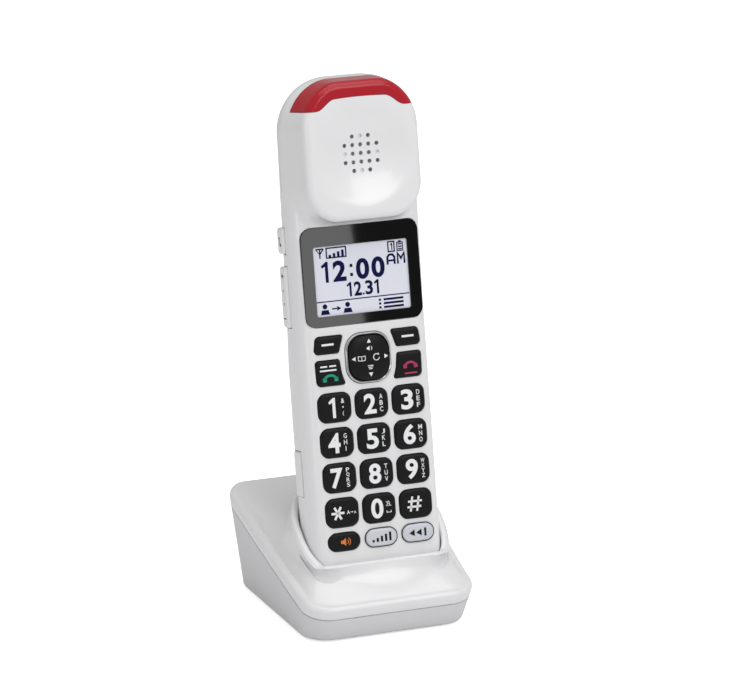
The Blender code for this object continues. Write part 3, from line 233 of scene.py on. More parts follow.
# Each row: the colour, the colour of worn edges, the roughness, and what differs from the defaults.
LOOKS = {
    "white_gloss": (grey(0.80), grey(0.86), 0.26, {"wear": 0.05, **CLEAR_COAT}),
    "base_gloss": (grey(0.78), grey(0.84), 0.26, {"wear": 0.0, **CLEAR_COAT}),
    # The lower shell's darker grey is painted shade: its walls face out and down, away from the lamps.
    "base_lower": (grey(0.66), grey(0.74), 0.38, {}),
    "key_black": (grey(0.006), grey(0.03), 0.42, {"grain": 6000, "relief": 0.00002, "specular_ior_level": 0.18}),
    "key_clear": ((0.60, 0.62, 0.67), (0.7, 0.72, 0.76), 0.30, {"coat_weight": 0.2}),
    "window_black": (grey(0.002), grey(0.004), 0.03, {"relief": 0.0, "spread": 0.01, "specular_ior_level": 0.12}),
    "screen": ((0.72, 0.76, 0.86), (0.72, 0.76, 0.86), 0.25, {"relief": 0.0}),
    "lens_red": ((0.42, 0.010, 0.020), (0.58, 0.06, 0.08), 0.16, {"specular_ior_level": 0.35}),
    "trim_chrome": (grey(0.75), grey(0.9), 0.16, {"metallic": 1.0}),
    "contact_metal": ((0.70, 0.66, 0.55), (0.8, 0.78, 0.7), 0.28, {"metallic": 1.0}),
    "screw_steel": (grey(0.45), grey(0.6), 0.38, {"grain": 2500, "metallic": 1.0}),
    "board_green": ((0.02, 0.16, 0.06), (0.1, 0.3, 0.15), 0.45, {"grain": 1500}),
    "speaker_grey": (grey(0.10), grey(0.2), 0.55, {"grain": 3000, "relief": 0.00004}),
    "rubber_grey": (grey(0.12), grey(0.2), 0.85, {"grain": 2500, "relief": 0.00005}),
    "cell_green": ((0.05, 0.28, 0.14), (0.3, 0.4, 0.3), 0.35, {}),
}
looks = {name: finish(name, fresh, worn, rough, **extra) for name, (fresh, worn, rough, extra) in LOOKS.items()}
INKS = {"white": (grey(0.82), grey(0.8), {}), "dark": (grey(0.01), grey(0.02), {"specular_ior_level": 0.15}),
        "green": ((0.0, 0.28, 0.17), (0.02, 0.3, 0.2), {}),
        "magenta": ((0.42, 0.02, 0.10), (0.4, 0.05, 0.1), {}),
        "orange": ((0.70, 0.19, 0.02), (0.7, 0.2, 0.05), {}),
        "navy": ((0.004, 0.006, 0.055), (0.01, 0.01, 0.06), {"specular_ior_level": 0.08})}
inks = {name: finish(name + "_ink", fresh, worn, 0.5, grain=5000, **extra)
        for name, (fresh, worn, extra) in INKS.items()}
for node_name, node in frame["nodes"].items():
    node.data.materials.clear()
    node.data.materials.append(looks[slot_of[node_name]])
print("finishes:", len(looks), "inks:", len(inks))

# %% [markdown]
# A studio sweep is a wide white sheet that curves up behind the object. A flat pale sheet does the same
# here, because the camera sees nothing beyond it; it catches the soft shadow under the base.

# %% Floor
floor_mesh = bpy.data.meshes.new("floor")
floor_mesh.from_pydata([(-9, -9, 0), (9, -9, 0), (9, 9, 0), (-9, 9, 0)], [], [(0, 1, 2, 3)])
floor = bpy.data.objects.new("floor", floor_mesh)
floor_look = finish("floor_white", grey(0.93), grey(0.93), 0.7, grain=60, relief=0.0)
# The camera sees the sheet brighter than the light it throws back, as an evenly lit white sweep.
seen = floor_look.node_tree.nodes.new("ShaderNodeLightPath")
floor_shader = floor_look.node_tree.nodes["Principled BSDF"]
floor_look.node_tree.links.new(seen.outputs["Is Camera Ray"], floor_shader.inputs["Emission Strength"])
floor_shader.inputs["Emission Color"].default_value = (0.62, 0.62, 0.62, 1)
floor_mesh.materials.append(floor_look)
scene.collection.objects.link(floor)
print("floor:", floor.dimensions[:2])

# %% [markdown]
# Most pieces are closed solids skinned over rings of points, because rings follow rounded outlines
# exactly and stay easy to cut later. The helpers below make them, join them, and put a finished piece
# in the scene. Pieces of the handset are leaned into place as the last step.

# %% Mesh helpers
GAP = 0.0003
CORNER_STEPS = 10


def piece(name, mesh, look, body, replaced=(), lean=True, angle=40):
    """Finishes a piece: places it, shades it, parents it to what it rides on and hides the parts it replaces."""
    obj = bpy.data.objects.new(name, mesh)
    scene.collection.objects.link(obj)
    if lean:
        mesh.transform(DOCK)
    mesh.materials.clear()
    mesh.materials.append(look)
    mesh.polygons.foreach_set("material_index", [0] * len(mesh.polygons))
    mesh.shade_smooth()
    mesh.set_sharp_from_angle(angle=math.radians(angle))
    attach(obj, body)
    if replaced:
        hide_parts(*replaced)
    return obj


def loft(rings, caps=True):
    """A mesh skinned over rings of equal length."""
    bm = bmesh.new()
    rows = [[bm.verts.new(p) for p in ring] for ring in rings]
    count = len(rows[0])
    for low, high in zip(rows, rows[1:]):
        for i in range(count):
            j = (i + 1) % count
            bm.faces.new((low[i], low[j], high[j], high[i]))
    if caps:
        bm.faces.new(rows[0][::-1])
        bm.faces.new(rows[-1])
    bmesh.ops.recalc_face_normals(bm, faces=bm.faces)
    mesh = bpy.data.meshes.new("loft")
    bm.to_mesh(mesh)
    bm.free()
    return mesh


print("mesh helpers: piece and loft")


# %% Outlines and solids
def outline(low, high, corners, steps=CORNER_STEPS, sides=1):
    """A rounded rectangle; corners are (rx, ry) at low-low, high-low, high-high, low-high."""
    arcs = []
    for number, (rx, ry) in enumerate(corners):
        cx = high[0] - rx if number in (1, 2) else low[0] + rx
        cy = high[1] - ry if number > 1 else low[1] + ry
        turns = [math.pi * (1 + (number + k / steps) / 2) for k in range(steps + 1)]
        arcs.append([(cx + rx * math.cos(turn), cy + ry * math.sin(turn)) for turn in turns])
    points = []
    for here, after in zip(arcs, arcs[1:] + arcs[:1]):
        (x0, y0), (x1, y1) = here[-1], after[0]
        points += here + [(x0 + (x1 - x0) * k / sides, y0 + (y1 - y0) * k / sides) for k in range(1, sides)]
    return points


def prism(shape, front, rear):
    """An outline in x and z, run back from front to rear."""
    return loft([[(x, y, z) for x, z in shape] for y in (front, rear)])


def box(low, high):
    (x0, y0, z0), (x1, y1, z1) = low, high
    return prism([(x0, z0), (x1, z0), (x1, z1), (x0, z1)], y0, y1)


def rod(centre, axis, radius, low, high, sides=20):
    """A cylinder along one axis, from low to high."""
    rings = []
    others = [i for i in range(3) if i != axis]
    for reach in (low, high):
        ring = []
        for k in range(sides):
            spot = list(centre)
            spot[axis] = reach
            spot[others[0]] += radius * math.cos(2 * math.pi * k / sides)
            spot[others[1]] += radius * math.sin(2 * math.pi * k / sides)
            ring.append(spot)
        rings.append(ring)
    return loft(rings)


def merged(meshes):
    """Several meshes as one."""
    bm = bmesh.new()
    for mesh in meshes:
        bm.from_mesh(mesh)
    out = bpy.data.meshes.new("merged")
    bm.to_mesh(out)
    bm.free()
    return out


print("outline points with the default corners:", len(outline((0, 0), (1, 1), [(0.1, 0.1)] * 4)))


# %% Editing meshes
@contextmanager
def edited(mesh):
    """Opens a mesh for editing and writes the result back."""
    bm = bmesh.new()
    bm.from_mesh(mesh)
    yield bm
    bm.to_mesh(mesh)
    bm.free()


def ring_solid(sections):
    """A closed ring, swept round its sections and back to the first, with the last joint welded."""
    mesh = loft(sections + sections[:1], caps=False)
    with edited(mesh) as bm:
        bmesh.ops.remove_doubles(bm, verts=bm.verts, dist=1e-7)
        bmesh.ops.recalc_face_normals(bm, faces=bm.faces)
    return mesh


def baked(obj):
    """An object's mesh with its modifiers applied; the object itself goes."""
    bpy.context.view_layer.update()
    graph = bpy.context.evaluated_depsgraph_get()
    mesh = bpy.data.meshes.new_from_object(obj.evaluated_get(graph), depsgraph=graph)
    bpy.data.objects.remove(obj, do_unlink=True)
    return mesh


print("clearance round moving pieces:", round(1000 * GAP, 2), "mm")

# %% [markdown]
# The handset's skin is one soft form: a long rounded bar that swells into the earpiece head, with a
# shallow dish in the head. It could be lofted and joined with Booleans, but the join would stay a hard
# crease. Instead the form is written as a field, a formula that is negative inside the plastic, where
# two shapes blend with a fillet. A grid then turns the field into a mesh of even quads, and each point
# is slid along the field's slope until it lies exactly on the surface.

# %% Field helpers
def rmax(a, b, r):
    """Both shapes at once, their shared edge rounded with radius r."""
    return np.minimum(np.maximum(a, b), -r) + np.hypot(np.maximum(a + r, 0), np.maximum(b + r, 0))


def rmin(a, b, r):
    """Either shape, with a fillet of radius r where they meet."""
    return -rmax(-a, -b, r)


def ramp(value, low, high):
    t = np.clip((value - low) / (high - low), 0, 1)
    return t * t * (3 - 2 * t)


def skin_of(field, low, high, step):
    """A mesh of even quads on the surface where the field is zero."""
    axes = [np.arange(low[i], high[i] + step, step) for i in range(3)]
    inside = field(*np.meshgrid(*axes, indexing="ij")) < 0
    count = sum(inside[i:inside.shape[0] - 1 + i, j:inside.shape[1] - 1 + j, k:inside.shape[2] - 1 + k]
                .astype(np.int8) for i in (0, 1) for j in (0, 1) for k in (0, 1))
    active = (count > 0) & (count < 8)
    number = np.full(active.shape, -1)
    number[active] = np.arange(active.sum())
    points = np.stack([axes[i][:-1][spot] + step / 2 for i, spot in enumerate(np.nonzero(active))], 1)
    faces = []
    for axis in range(3):
        turned = np.moveaxis(inside, axis, 0)
        cells = np.moveaxis(number, axis, 0)
        near, far = turned[:-1, 1:-1, 1:-1], turned[1:, 1:-1, 1:-1]
        for way, order in ((near & ~far, 1), (far & ~near, -1)):
            i, j, k = np.nonzero(way)
            quad = [cells[i, j, k], cells[i, j + 1, k], cells[i, j + 1, k + 1], cells[i, j, k + 1]]
            faces.append(np.stack(quad[::order * (-1 if axis == 1 else 1)], 1))
    for _ in range(4):
        value = field(*points.T)
        small = step / 20
        slope = np.stack([(field(*(points + way).T) - field(*(points - way).T)) / (2 * small)
                          for way in small * np.eye(3)], 1)
        move = (value / np.maximum((slope ** 2).sum(1), 0.05))[:, None] * slope
        points = points - np.clip(move, -step, step)
    mesh = bpy.data.meshes.new("skin")
    mesh.from_pydata(points.tolist(), [], np.concatenate(faces).tolist())
    return mesh


# %% [markdown]
# The bar is a rounded rectangle seen from the front, thinner towards its top. The head is the same
# outline again, raised and tapered, with a round dish that fits the ear. The radii and slopes are named
# here, so that the form can be tuned without touching the formulas.

# %% The handset's form
HALF = 0.0265
LENGTH = 0.1935
DEPTH_AT_GRIP = 0.02437
GRIP_LENGTH = 0.0850
HEAD_THINNING = 0.0085
TOP_CORNER = 0.0205
BOTTOM_CORNER = 0.0090
HEAD_TOP_CORNER, HEAD_LOW_CORNER, HEAD_RIM = 0.0190, 0.0145, 0.0026
FACE_EDGE, REAR_EDGE, NECK_FILLET, DISH_EDGE = 0.0060, 0.0120, 0.0034, 0.0006
HEAD_FOOT = 0.1405
HEAD_RISE = 0.0105
HEAD_DRAFT = math.radians(15)
DISH_Z = 0.1648
DISH_RADIUS = 0.0190
DISH_DEPTH = 0.0030


def rear_depth(z):
    return DEPTH_AT_GRIP - HEAD_THINNING * np.clip((z - GRIP_LENGTH) / 0.0855, 0, 1)


def bar_field(x, y, z):
    """The long rounded bar."""
    top_half = z > LENGTH / 2
    end = np.where(top_half, z - LENGTH, -z)
    rim = rmax(np.abs(x) - HALF, end, np.where(top_half, TOP_CORNER, BOTTOM_CORNER))
    deep = rear_depth(z)
    share = np.minimum(1.0, deep / 0.0222)
    front = rmax(rim, -0.6 * y, FACE_EDGE * share)
    rear = rmax(rim, y - deep, REAR_EDGE * share)
    return np.where(y < 0.0101 * share, front, rear)


def head_field(x, y, z):
    """The raised head: sloping sides, a rounded rim."""
    top_half = z > 0.166
    end = np.where(top_half, z - LENGTH + 0.0002, HEAD_FOOT - 0.0017 - z)
    rim = rmax(np.abs(x) - HALF + 0.0002, end, np.where(top_half, HEAD_TOP_CORNER, HEAD_LOW_CORNER))
    # The sides slope in towards the rim, but the foot and the top fall almost straight back.
    across = np.clip((np.abs(x) - 0.010) / 0.014, 0.12, 1)
    draft = HEAD_DRAFT * (0.3 + 0.7 * across)
    sloped = (rim + np.maximum(0.0050 - y, 0) * np.tan(draft)) * np.cos(draft)
    return np.maximum(rmax(sloped, -HEAD_RISE - y, HEAD_RIM), y - 0.0080)


def handset_field(x, y, z):
    body, head = bar_field(x, y, z), head_field(x, y, z)
    fillet = NECK_FILLET * ramp(0.1560 - z, 0, 0.0100) * ramp(HALF - np.abs(x), -0.0005, 0.0070)
    whole = rmin(body, head, fillet + 0.00002)
    ball = (DISH_RADIUS ** 2 + DISH_DEPTH ** 2) / (2 * DISH_DEPTH)
    away = np.sqrt(x ** 2 + (y + HEAD_RISE - DISH_DEPTH + ball) ** 2 + (z - DISH_Z) ** 2) - ball
    return rmax(whole, -away, DISH_EDGE)


SKIN_STEP = 0.0007
FORM_LOW, FORM_HIGH = (-0.0285, -0.0125, -0.0015), (0.0285, 0.0265, 0.1955)
handset_skin = skin_of(handset_field, FORM_LOW, FORM_HIGH, SKIN_STEP)
print("handset skin quads:", len(handset_skin.polygons))

# %% [markdown]
# The real handset is two moulded halves and a red lens over the ringer light. All three are cut from
# the same skin, so their outer faces run into each other with only a hairline seam between them. The
# hollow is the same field again, moved in by the wall.

# %% Cutters for the shells
WALL = 0.0020
SEAM_Y = 0.0160
SEAM_STEP = 0.0080
HOLLOW_STEP = 0.0014


def hollow_field(x, y, z):
    """The hollow inside; behind the key face it comes forward, so that the wall is even there too."""
    forward = 0.00133 * ramp(0.012 - y, 0, 0.006) * ramp(0.139 - z, 0, 0.003)
    return handset_field(x, y + forward, z) + WALL


hollow = skin_of(hollow_field, FORM_LOW, FORM_HIGH, HOLLOW_STEP)


def carve(mesh, tool, operation="DIFFERENCE"):
    """A quick Boolean for closed meshes."""
    target = bpy.data.objects.new("target", mesh)
    cutter = bpy.data.objects.new("cutter", tool)
    for obj in (target, cutter):
        scene.collection.objects.link(obj)
    change = target.modifiers.new("change", "BOOLEAN")
    change.operation, change.solver, change.object = operation, "MANIFOLD", cutter
    made = baked(target)
    bpy.data.objects.remove(cutter, do_unlink=True)
    return made


def seam_block(shift, far):
    """A block in front of or behind the seam, which steps forward round the head."""
    y, reach = SEAM_Y + shift, abs(far)
    side_view = [(far, -reach), (y, -reach), (y, HEAD_FOOT), (y - SEAM_STEP, HEAD_FOOT + 1.5 * SEAM_STEP),
                 (y - SEAM_STEP, reach), (far, reach)]
    return loft([[(x, py, pz) for py, pz in side_view] for x in (-reach, reach)])


def lens_shape(grow):
    """The ringer lens from the front: flat feet at the sides, an S-bend up to a nearly straight middle."""
    foot, crown = LENGTH - 0.0118 - grow, LENGTH - 0.0074 - grow
    points = [(-0.032, 0.200), (-0.032, foot)]
    for k in range(61):
        x = -0.0200 + 0.0400 * k / 60
        rise = (crown - 0.0007 - foot) * float(ramp(0.0178 - grow - abs(x), 0, 0.0075))
        points.append((x, foot + rise + 0.0007 * max(0.0, 1 - (x / 0.0145) ** 2)))
    return points + [(0.032, foot), (0.032, 0.200)]


print("hollow quads:", len(hollow.polygons))

# %% [markdown]
# Every opening in the key face follows the key behind it with the same small clearance, so the key
# outlines are worked out first. The sizes come from the keys in the frame.

# %% Key outlines
KEY_PROUD = 0.0009
NAV_HALF = (0.0080, 0.0084)
NAV_TRIM = 0.0007
KEY_CORNER = 0.0027
BULGE = 0.00022
numbers = ["key_star", "key_0", "key_hash"] + [f"key_{n}" for n in (7, 8, 9, 4, 5, 6, 1, 2, 3)]
KEY_PITCH, KEY_WIDTH, ROW_PITCH, KEY_HEIGHT, FIRST_ROW = 0.01487, 0.0125, 0.0132, 0.0104, 0.0310
keys = {}
for count, name in enumerate(numbers):
    keys[name] = ((count % 3 - 1) * KEY_PITCH, FIRST_ROW + count // 3 * ROW_PITCH, KEY_WIDTH, KEY_HEIGHT,
                  KEY_CORNER)
for column, name in enumerate(("speaker_key", "boost_key", "slow_key")):
    keys[name] = ((column - 1) * KEY_PITCH, 0.0200, KEY_WIDTH - 0.0004, 0.0063, KEY_CORNER)
# The keys beside the navigation key lean away from it; corners run from the outer foot, with radii.
MENU_KEYS = {"soft": [(0.0214, 0.0910, 0.0015), (0.0117, 0.0910, 0.0008), (0.0107, 0.0943, -0.0120),
                      (0.0097, 0.0974, 0.0006), (0.0205, 0.0974, 0.0016)],
             "call": [(0.0210, 0.0790, 0.0018), (0.0098, 0.0790, 0.0006), (0.0110, 0.0826, -0.0120),
                      (0.0117, 0.0884, 0.0008), (0.0212, 0.0884, 0.0012)]}
for side, call, soft in ((-1, "talk_key", "soft_key_left"), (1, "off_key", "soft_key_right")):
    keys[call], keys[soft] = (side * 0.01582, 0.08375, "call"), (side * 0.01582, 0.09425, "soft")


print("keys:", len(keys) + 1)


# %% Shapes of keys and window
def offset_shape(corners, grow, side):
    """A polygon of corners with radii, moved out by grow; a negative radius rounds a hollow corner."""
    points = []
    count = len(corners)
    for i, (x, z, radius) in enumerate(corners):
        here = Vector((x, z))
        into = (here - Vector(corners[i - 1][:2])).normalized()
        out = (Vector(corners[(i + 1) % count][:2]) - here).normalized()
        first, second = Vector((-into.y, into.x)), Vector((-out.y, out.x))
        half_turn = into.angle(out) / 2
        middle = (first + second).normalized()
        tip = here + middle * grow / math.cos(half_turn)
        bend = max(0.0002, abs(radius) + (grow if radius > 0 else -grow))
        sign = -1 if radius > 0 else 1
        centre = tip + middle * sign * bend / math.cos(half_turn)
        start = math.atan2(*(-sign * first).yx)
        sweep = math.atan2(first.x * second.y - first.y * second.x, first.dot(second))
        for k in range(9):
            turn = start + sweep * k / 8
            points.append((side * (centre.x + bend * math.cos(turn)), centre.y + bend * math.sin(turn)))
    return points


def key_shape(name, grow, steps=8):
    """A key's outline; number keys have slightly swelling sides."""
    if len(keys[name]) == 3:
        return offset_shape(MENU_KEYS[keys[name][2]], grow, math.copysign(1, keys[name][0]))
    x, z, width, height, corner = keys[name]
    corner = min(corner, 0.49 * height) + grow
    half = (width / 2 + grow, height / 2 + grow)
    points = []
    for px, pz in outline((-half[0], -half[1]), half, [(corner, corner)] * 4, steps, 8):
        u, v = px / half[0], pz / half[1]
        swell_x = math.copysign(BULGE * (1 - v * v) * abs(u) ** 4, u)
        swell_z = math.copysign(BULGE * (1 - u * u) * abs(v) ** 4, v)
        points.append((x + px + swell_x, z + pz + swell_z))
    return points


def nav_shape(grow):
    half_x, half_z = NAV_HALF[0] + grow, NAV_HALF[1] + grow
    corner = 0.72 * half_x
    return outline((-half_x, NAV_Z - half_z), (half_x, NAV_Z + half_z), [(corner, corner)] * 4, 12)


def window_shape(grow, inset=(0, 0, 0)):
    """The display window's outline; inset is how far a screen lies inside its sides, foot and top."""
    corner = 0.0040 + grow if not inset[0] else 0.0008
    side, foot, top = inset
    return outline((-0.0234 + side - grow, 0.1011 + foot - grow), (0.0234 - side + grow, 0.1381 - top + grow),
                   [(corner, corner)] * 4)


SCREEN_INSET = (0.0045, 0.0037, 0.0072)
print("points round a number key:", len(key_shape("key_5", 0)))

# %% [markdown]
# The front shell carries every opening: keys, window, side controls, lens and the sound holes in the
# dish. All the openings are one mesh of separate prisms, so one Boolean cuts them together.

# %% Front shell
THROUGH_FACE = (-0.004, 0.0045)
LENS_GAP, LENS_REAR = 0.00015, 0.0010
SIDE_Y = (0.0083, 0.0143)
side_places = {"tone": (0.1287, 0.1386), "rocker": (0.1010, 0.1240), "jack": (0.0374, 0.0544)}
openings = [prism(key_shape(name, GAP), *THROUGH_FACE) for name in keys]
openings.append(prism(nav_shape(NAV_TRIM + 2 * GAP), *THROUGH_FACE))
openings.append(rod((0, 0, 0.0080), 1, 0.0006, *THROUGH_FACE, 16))
for low_z, high_z in side_places.values():
    openings.append(box((-HALF - 0.004, SIDE_Y[0] - GAP, low_z - GAP),
                        (-HALF + 0.006, SIDE_Y[1] + GAP, high_z + GAP)))
DISH_FLOOR = -HEAD_RISE + DISH_DEPTH
HOLE_PITCH, HOLE_RADIUS = 0.0032, 0.0008
cloth = []
print("openings for keys and controls:", len(openings))

# %% Sound holes
for i in range(-2, 3):
    for j in range(-2, 3):
        if abs(i) + abs(j) < 4:
            centre = (i * HOLE_PITCH, 0, DISH_Z + j * HOLE_PITCH)
            # The four holes at the ends of the middle row and column are only dimples.
            dimple = (i == 0) != (j == 0) and max(abs(i), abs(j)) == 2
            openings.append(rod(centre, 1, HOLE_RADIUS, DISH_FLOOR - 0.002,
                                DISH_FLOOR + (0.0003 if dimple else 0.0013)))
            if not dimple:
                cloth.append(rod(centre, 1, HOLE_RADIUS - 0.00001, DISH_FLOOR + 0.0008, DISH_FLOOR + 0.0013))
print("sound holes with cloth behind them:", len(cloth))

# %% Cutting the front shell
front = carve(handset_skin.copy(), seam_block(-GAP / 2, -0.4), "INTERSECT")
front = carve(front, hollow.copy())
front = carve(front, merged(openings))
front = carve(front, prism(window_shape(GAP), -0.004, 0.0012))
front = carve(front, prism(window_shape(2 * GAP, SCREEN_INSET), *THROUGH_FACE))
front = carve(front, prism(lens_shape(LENS_GAP), -0.021, LENS_REAR + LENS_GAP))
piece("front_case", front, looks["white_gloss"], "handset", ("front_shell",), angle=32)
cloth_look = finish("cloth_grey", grey(0.22), grey(0.3), 0.8, grain=9000, relief=0.00004)
piece("sound_cloth", merged(cloth), cloth_look, "handset")
print("front case faces:", len(front.polygons))

# %% [markdown]
# The lens is a tinted cap that lets the ringer light through at the top of the head. Cutting it from
# the same skin with the outline that opened the shell leaves an even hairline round it.

# %% Ringer lens
lens = carve(handset_skin.copy(), prism(lens_shape(0.0), -0.021, LENS_REAR), "INTERSECT")
lens = carve(lens, hollow.copy())
piece("ringer_cap", lens, looks["lens_red"], "handset", ("ringer_lens",), angle=32)
print("lens faces:", len(lens.polygons))

# %% [markdown]
# The back shell holds the battery tray, which shows when its cover swings open. The cover itself and
# the parts inside are shown as the frame has them, with their edges broken by a small bevel.

# %% Back shell
def spots_of(name):
    """A frame part's points in the upright handset's own axes."""
    return [DOCK.inverted() @ v.co for v in frame["nodes"][name].data.vertices]


cells, cover = spots_of("battery_cell_right"), spots_of("battery_cover")
tray_reach = max(v.x for v in cells) + 0.0009
tray_floor = min(v.y for v in cells) - GAP
tray_foot = min(v.z for v in spots_of("battery_cell_left")) - 0.0018
tray_top = max(v.z for v in spots_of("battery_tab")) + GAP
ledge = max(v.y for v in cells) + GAP
cover_half = max(v.x for v in cover)
cover_foot, cover_top = min(v.z for v in cover), max(v.z for v in cover)
room = carve(hollow.copy(), box((-tray_reach - 0.003, tray_floor - 0.0015, tray_foot - 0.005),
                                (tray_reach + 0.003, 0.05, tray_top + 0.005)))
back = carve(handset_skin.copy(), seam_block(GAP / 2, 0.4), "INTERSECT")
back = carve(back, room)
back = carve(back, box((-cover_half - GAP, ledge, cover_foot - GAP), (cover_half + GAP, 0.05, cover_top + GAP)))
back = carve(back, box((-tray_reach, tray_floor, tray_foot), (tray_reach, 0.05, tray_top)))
drilled = []
for side in (-1, 1):
    drilled.append(rod((side * 0.0195, 0, 0.0093), 1, 0.0027, 0.0189, 0.05, 24))
    drilled.append(box((side * 0.008 - 0.0028, 0.0165, -0.004), (side * 0.008 + 0.0028, 0.0231, 0.006)))
for k in range(-1, 2):
    slot_shape = outline((-0.007, 0.1263 + k * 0.004 - 0.0008), (0.007, 0.1263 + k * 0.004 + 0.0008),
                         [(0.00079, 0.00079)] * 4)
    drilled.append(prism(slot_shape, 0.014, 0.05))
back = carve(back, merged(drilled))
piece("back_case", back, looks["white_gloss"], "handset", ("back_shell",), angle=32)
print("back case faces:", len(back.polygons))

# %% [markdown]
# A key cap is a hard plastic button with a softly rounded front edge. A bevel would do, but rings that
# carry the outline round the edge give the same curve on every outline. The navigation key is more
# domed and sits in a thin plated trim.

# %% Key caps
def cap(shape_of, edge, rear):
    rings = [[(x, y, z) for x, z in shape_of(-inset)] for inset, y in edge]
    rings.append([(x, rear, z) for x, z in shape_of(0.0)])
    return loft(rings)


CAP_EDGE = [(0.0011, -KEY_PROUD), (0.0006, -KEY_PROUD + 0.00006), (0.00028, -KEY_PROUD + 0.0002),
            (0.00008, -KEY_PROUD + 0.00045), (0.0, -KEY_PROUD + 0.0008)]
for name in keys:
    look = slot_of[name]
    piece(name + "_cap", cap(lambda grow: key_shape(name, grow), CAP_EDGE, KEY_DEPTH), looks[look], name,
          (name,), angle=50)
NAV_EDGE = [(0.0050, -0.00200), (0.0034, -0.00193), (0.0020, -0.00178), (0.0011, -0.00155), (0.0005, -0.00122),
            (0.00015, -0.0009), (0.0, -0.0005)]
piece("nav_cap", cap(nav_shape, NAV_EDGE, KEY_DEPTH), looks["key_black"], "nav_key", ("nav_key",),
      angle=60)
rim_rings = [(GAP, KEY_DEPTH), (GAP, -KEY_PROUD + 0.0002), (GAP + 0.0002, -KEY_PROUD), (GAP + 0.0005, -KEY_PROUD),
             (GAP + NAV_TRIM, -KEY_PROUD + 0.0003), (GAP + NAV_TRIM, KEY_DEPTH)]
rim = ring_solid([[(x, y, z) for x, z in nav_shape(grow)] for grow, y in rim_rings])
piece("nav_trim", rim, looks["trim_chrome"], "handset", ("nav_ring",))
print("caps:", len(keys) + 1)

# %% [markdown]
# Printed legends are a film of ink a few hundredths of a millimetre thick. Text becomes a mesh and is
# fitted to the size the legend needs; symbols are drawn as strokes and plates. Words for functions are
# shown as plain symbols.

# %% Legend helpers
INK = 0.00005
SINK = 0.00003
FACE = -KEY_PROUD


def film(mark, at, face):
    """A flat mark, drawn in millimetres round a point, becomes a film of ink on the face."""
    with edited(mark) as bm:
        made = bmesh.ops.extrude_face_region(bm, geom=bm.faces[:])
        raised = {item for item in made["geom"] if isinstance(item, bmesh.types.BMVert)}
        for v in bm.verts:
            v.co = (at[0] + v.co.x / 1000, face - INK if v in raised else face + SINK, at[1] + v.co.z / 1000)
        bmesh.ops.recalc_face_normals(bm, faces=bm.faces)
    return mark


def letters(text, x, z, width, height, bold=0.0):
    """Text as a flat mesh, fitted into a box round x, z."""
    curve = bpy.data.curves.new("letters", "FONT")
    curve.body = text
    curve.offset = bold
    curve.resolution_u = 6
    curve.fill_mode = "BOTH"
    holder = bpy.data.objects.new("letters", curve)
    scene.collection.objects.link(holder)
    mesh = baked(holder)
    spots = np.empty(len(mesh.vertices) * 3)
    mesh.vertices.foreach_get("co", spots)
    spots = spots.reshape(-1, 3)
    low, size = spots.min(0), np.ptp(spots, axis=0)
    fitted = np.zeros_like(spots)
    fitted[:, 0] = x + ((spots[:, 0] - low[0]) / size[0] - 0.5) * width
    fitted[:, 2] = z + ((spots[:, 1] - low[1]) / size[1] - 0.5) * height
    mesh.vertices.foreach_set("co", fitted.ravel())
    with edited(mesh) as bm:
        bmesh.ops.remove_doubles(bm, verts=bm.verts, dist=1e-4)
    return mesh


print("ink film:", round(1000 * INK, 3), "mm")


# %% Plates and strokes
def plate(points):
    """A flat filled outline."""
    mesh = bpy.data.meshes.new("plate")
    mesh.from_pydata([(x, 0, z) for x, z in points], [], [range(len(points))])
    return mesh


def stroke(points, width, closed=False):
    """A line of even width along points, as one flat strip."""
    spots = [Vector(p) for p in points]
    count = len(spots)
    strip = []
    for i, spot in enumerate(spots):
        before = spots[i - 1] if i or closed else spot
        after = spots[(i + 1) % count] if i < count - 1 or closed else spot
        first = (spot - before).normalized() if before is not spot else (after - spot).normalized()
        second = (after - spot).normalized() if after is not spot else first
        side = Vector((-(first + second).y, (first + second).x)).normalized()
        reach = width / 2 / max(0.5, side.dot(Vector((-first.y, first.x))))
        strip.append((spot + side * reach, spot - side * reach))
    verts = [(p.x, 0, p.y) for pair in strip for p in pair]
    last = count if closed else count - 1
    faces = [(2 * i, 2 * i + 1, 2 * ((i + 1) % count) + 1, 2 * ((i + 1) % count)) for i in range(last)]
    mesh = bpy.data.meshes.new("stroke")
    mesh.from_pydata(verts, [], faces)
    return mesh


def numeral(text, x, z, width, height, bold):
    """A digit; the one is drawn with a flag, because the plain font has none."""
    if text != "1":
        return letters(text, x, z, width, height, bold)
    stem = 0.155 * height
    right, top, foot = x + 0.30 * width, z + height / 2, z - height / 2
    return plate([(right - stem, foot), (right, foot), (right, top), (right - 0.7 * stem, top),
                  (right - 0.36 * height, top - 0.20 * height), (right - 0.30 * height, top - 0.31 * height),
                  (right - stem, top - 0.22 * height)])


print("plate and stroke are ready")


# %% Marks
def disc(x, z, radius, sides=24):
    turns = [2 * math.pi * k / sides for k in range(sides)]
    return plate([(x + radius * math.cos(a), z + radius * math.sin(a)) for a in turns])


def bar(x, z, width, height):
    return plate([(x - width / 2, z - height / 2), (x + width / 2, z - height / 2),
                  (x + width / 2, z + height / 2), (x - width / 2, z + height / 2)])


def arc(x, z, radius, start, end, width):
    turns = [math.radians(start + (end - start) * k / 14) for k in range(15)]
    return stroke([(x + radius * math.cos(a), z + radius * math.sin(a)) for a in turns], width)


def arrow(x, z, size, turn):
    """A filled triangle pointing at an angle."""
    corners = [(math.cos(math.radians(turn + a)) * size * r, math.sin(math.radians(turn + a)) * size * r)
               for a, r in ((0, 0.75), (125, 0.85), (235, 0.85))]
    return plate([(x + cx, z + cz) for cx, cz in corners])


def printed(name, marks, body, at, ink="white", face=FACE):
    """Lays flat marks on a face as one printed piece."""
    return piece(name, merged([film(mark, at, face) for mark in marks]), inks[ink], body, angle=30)


print("inks to print with:", sorted(inks))

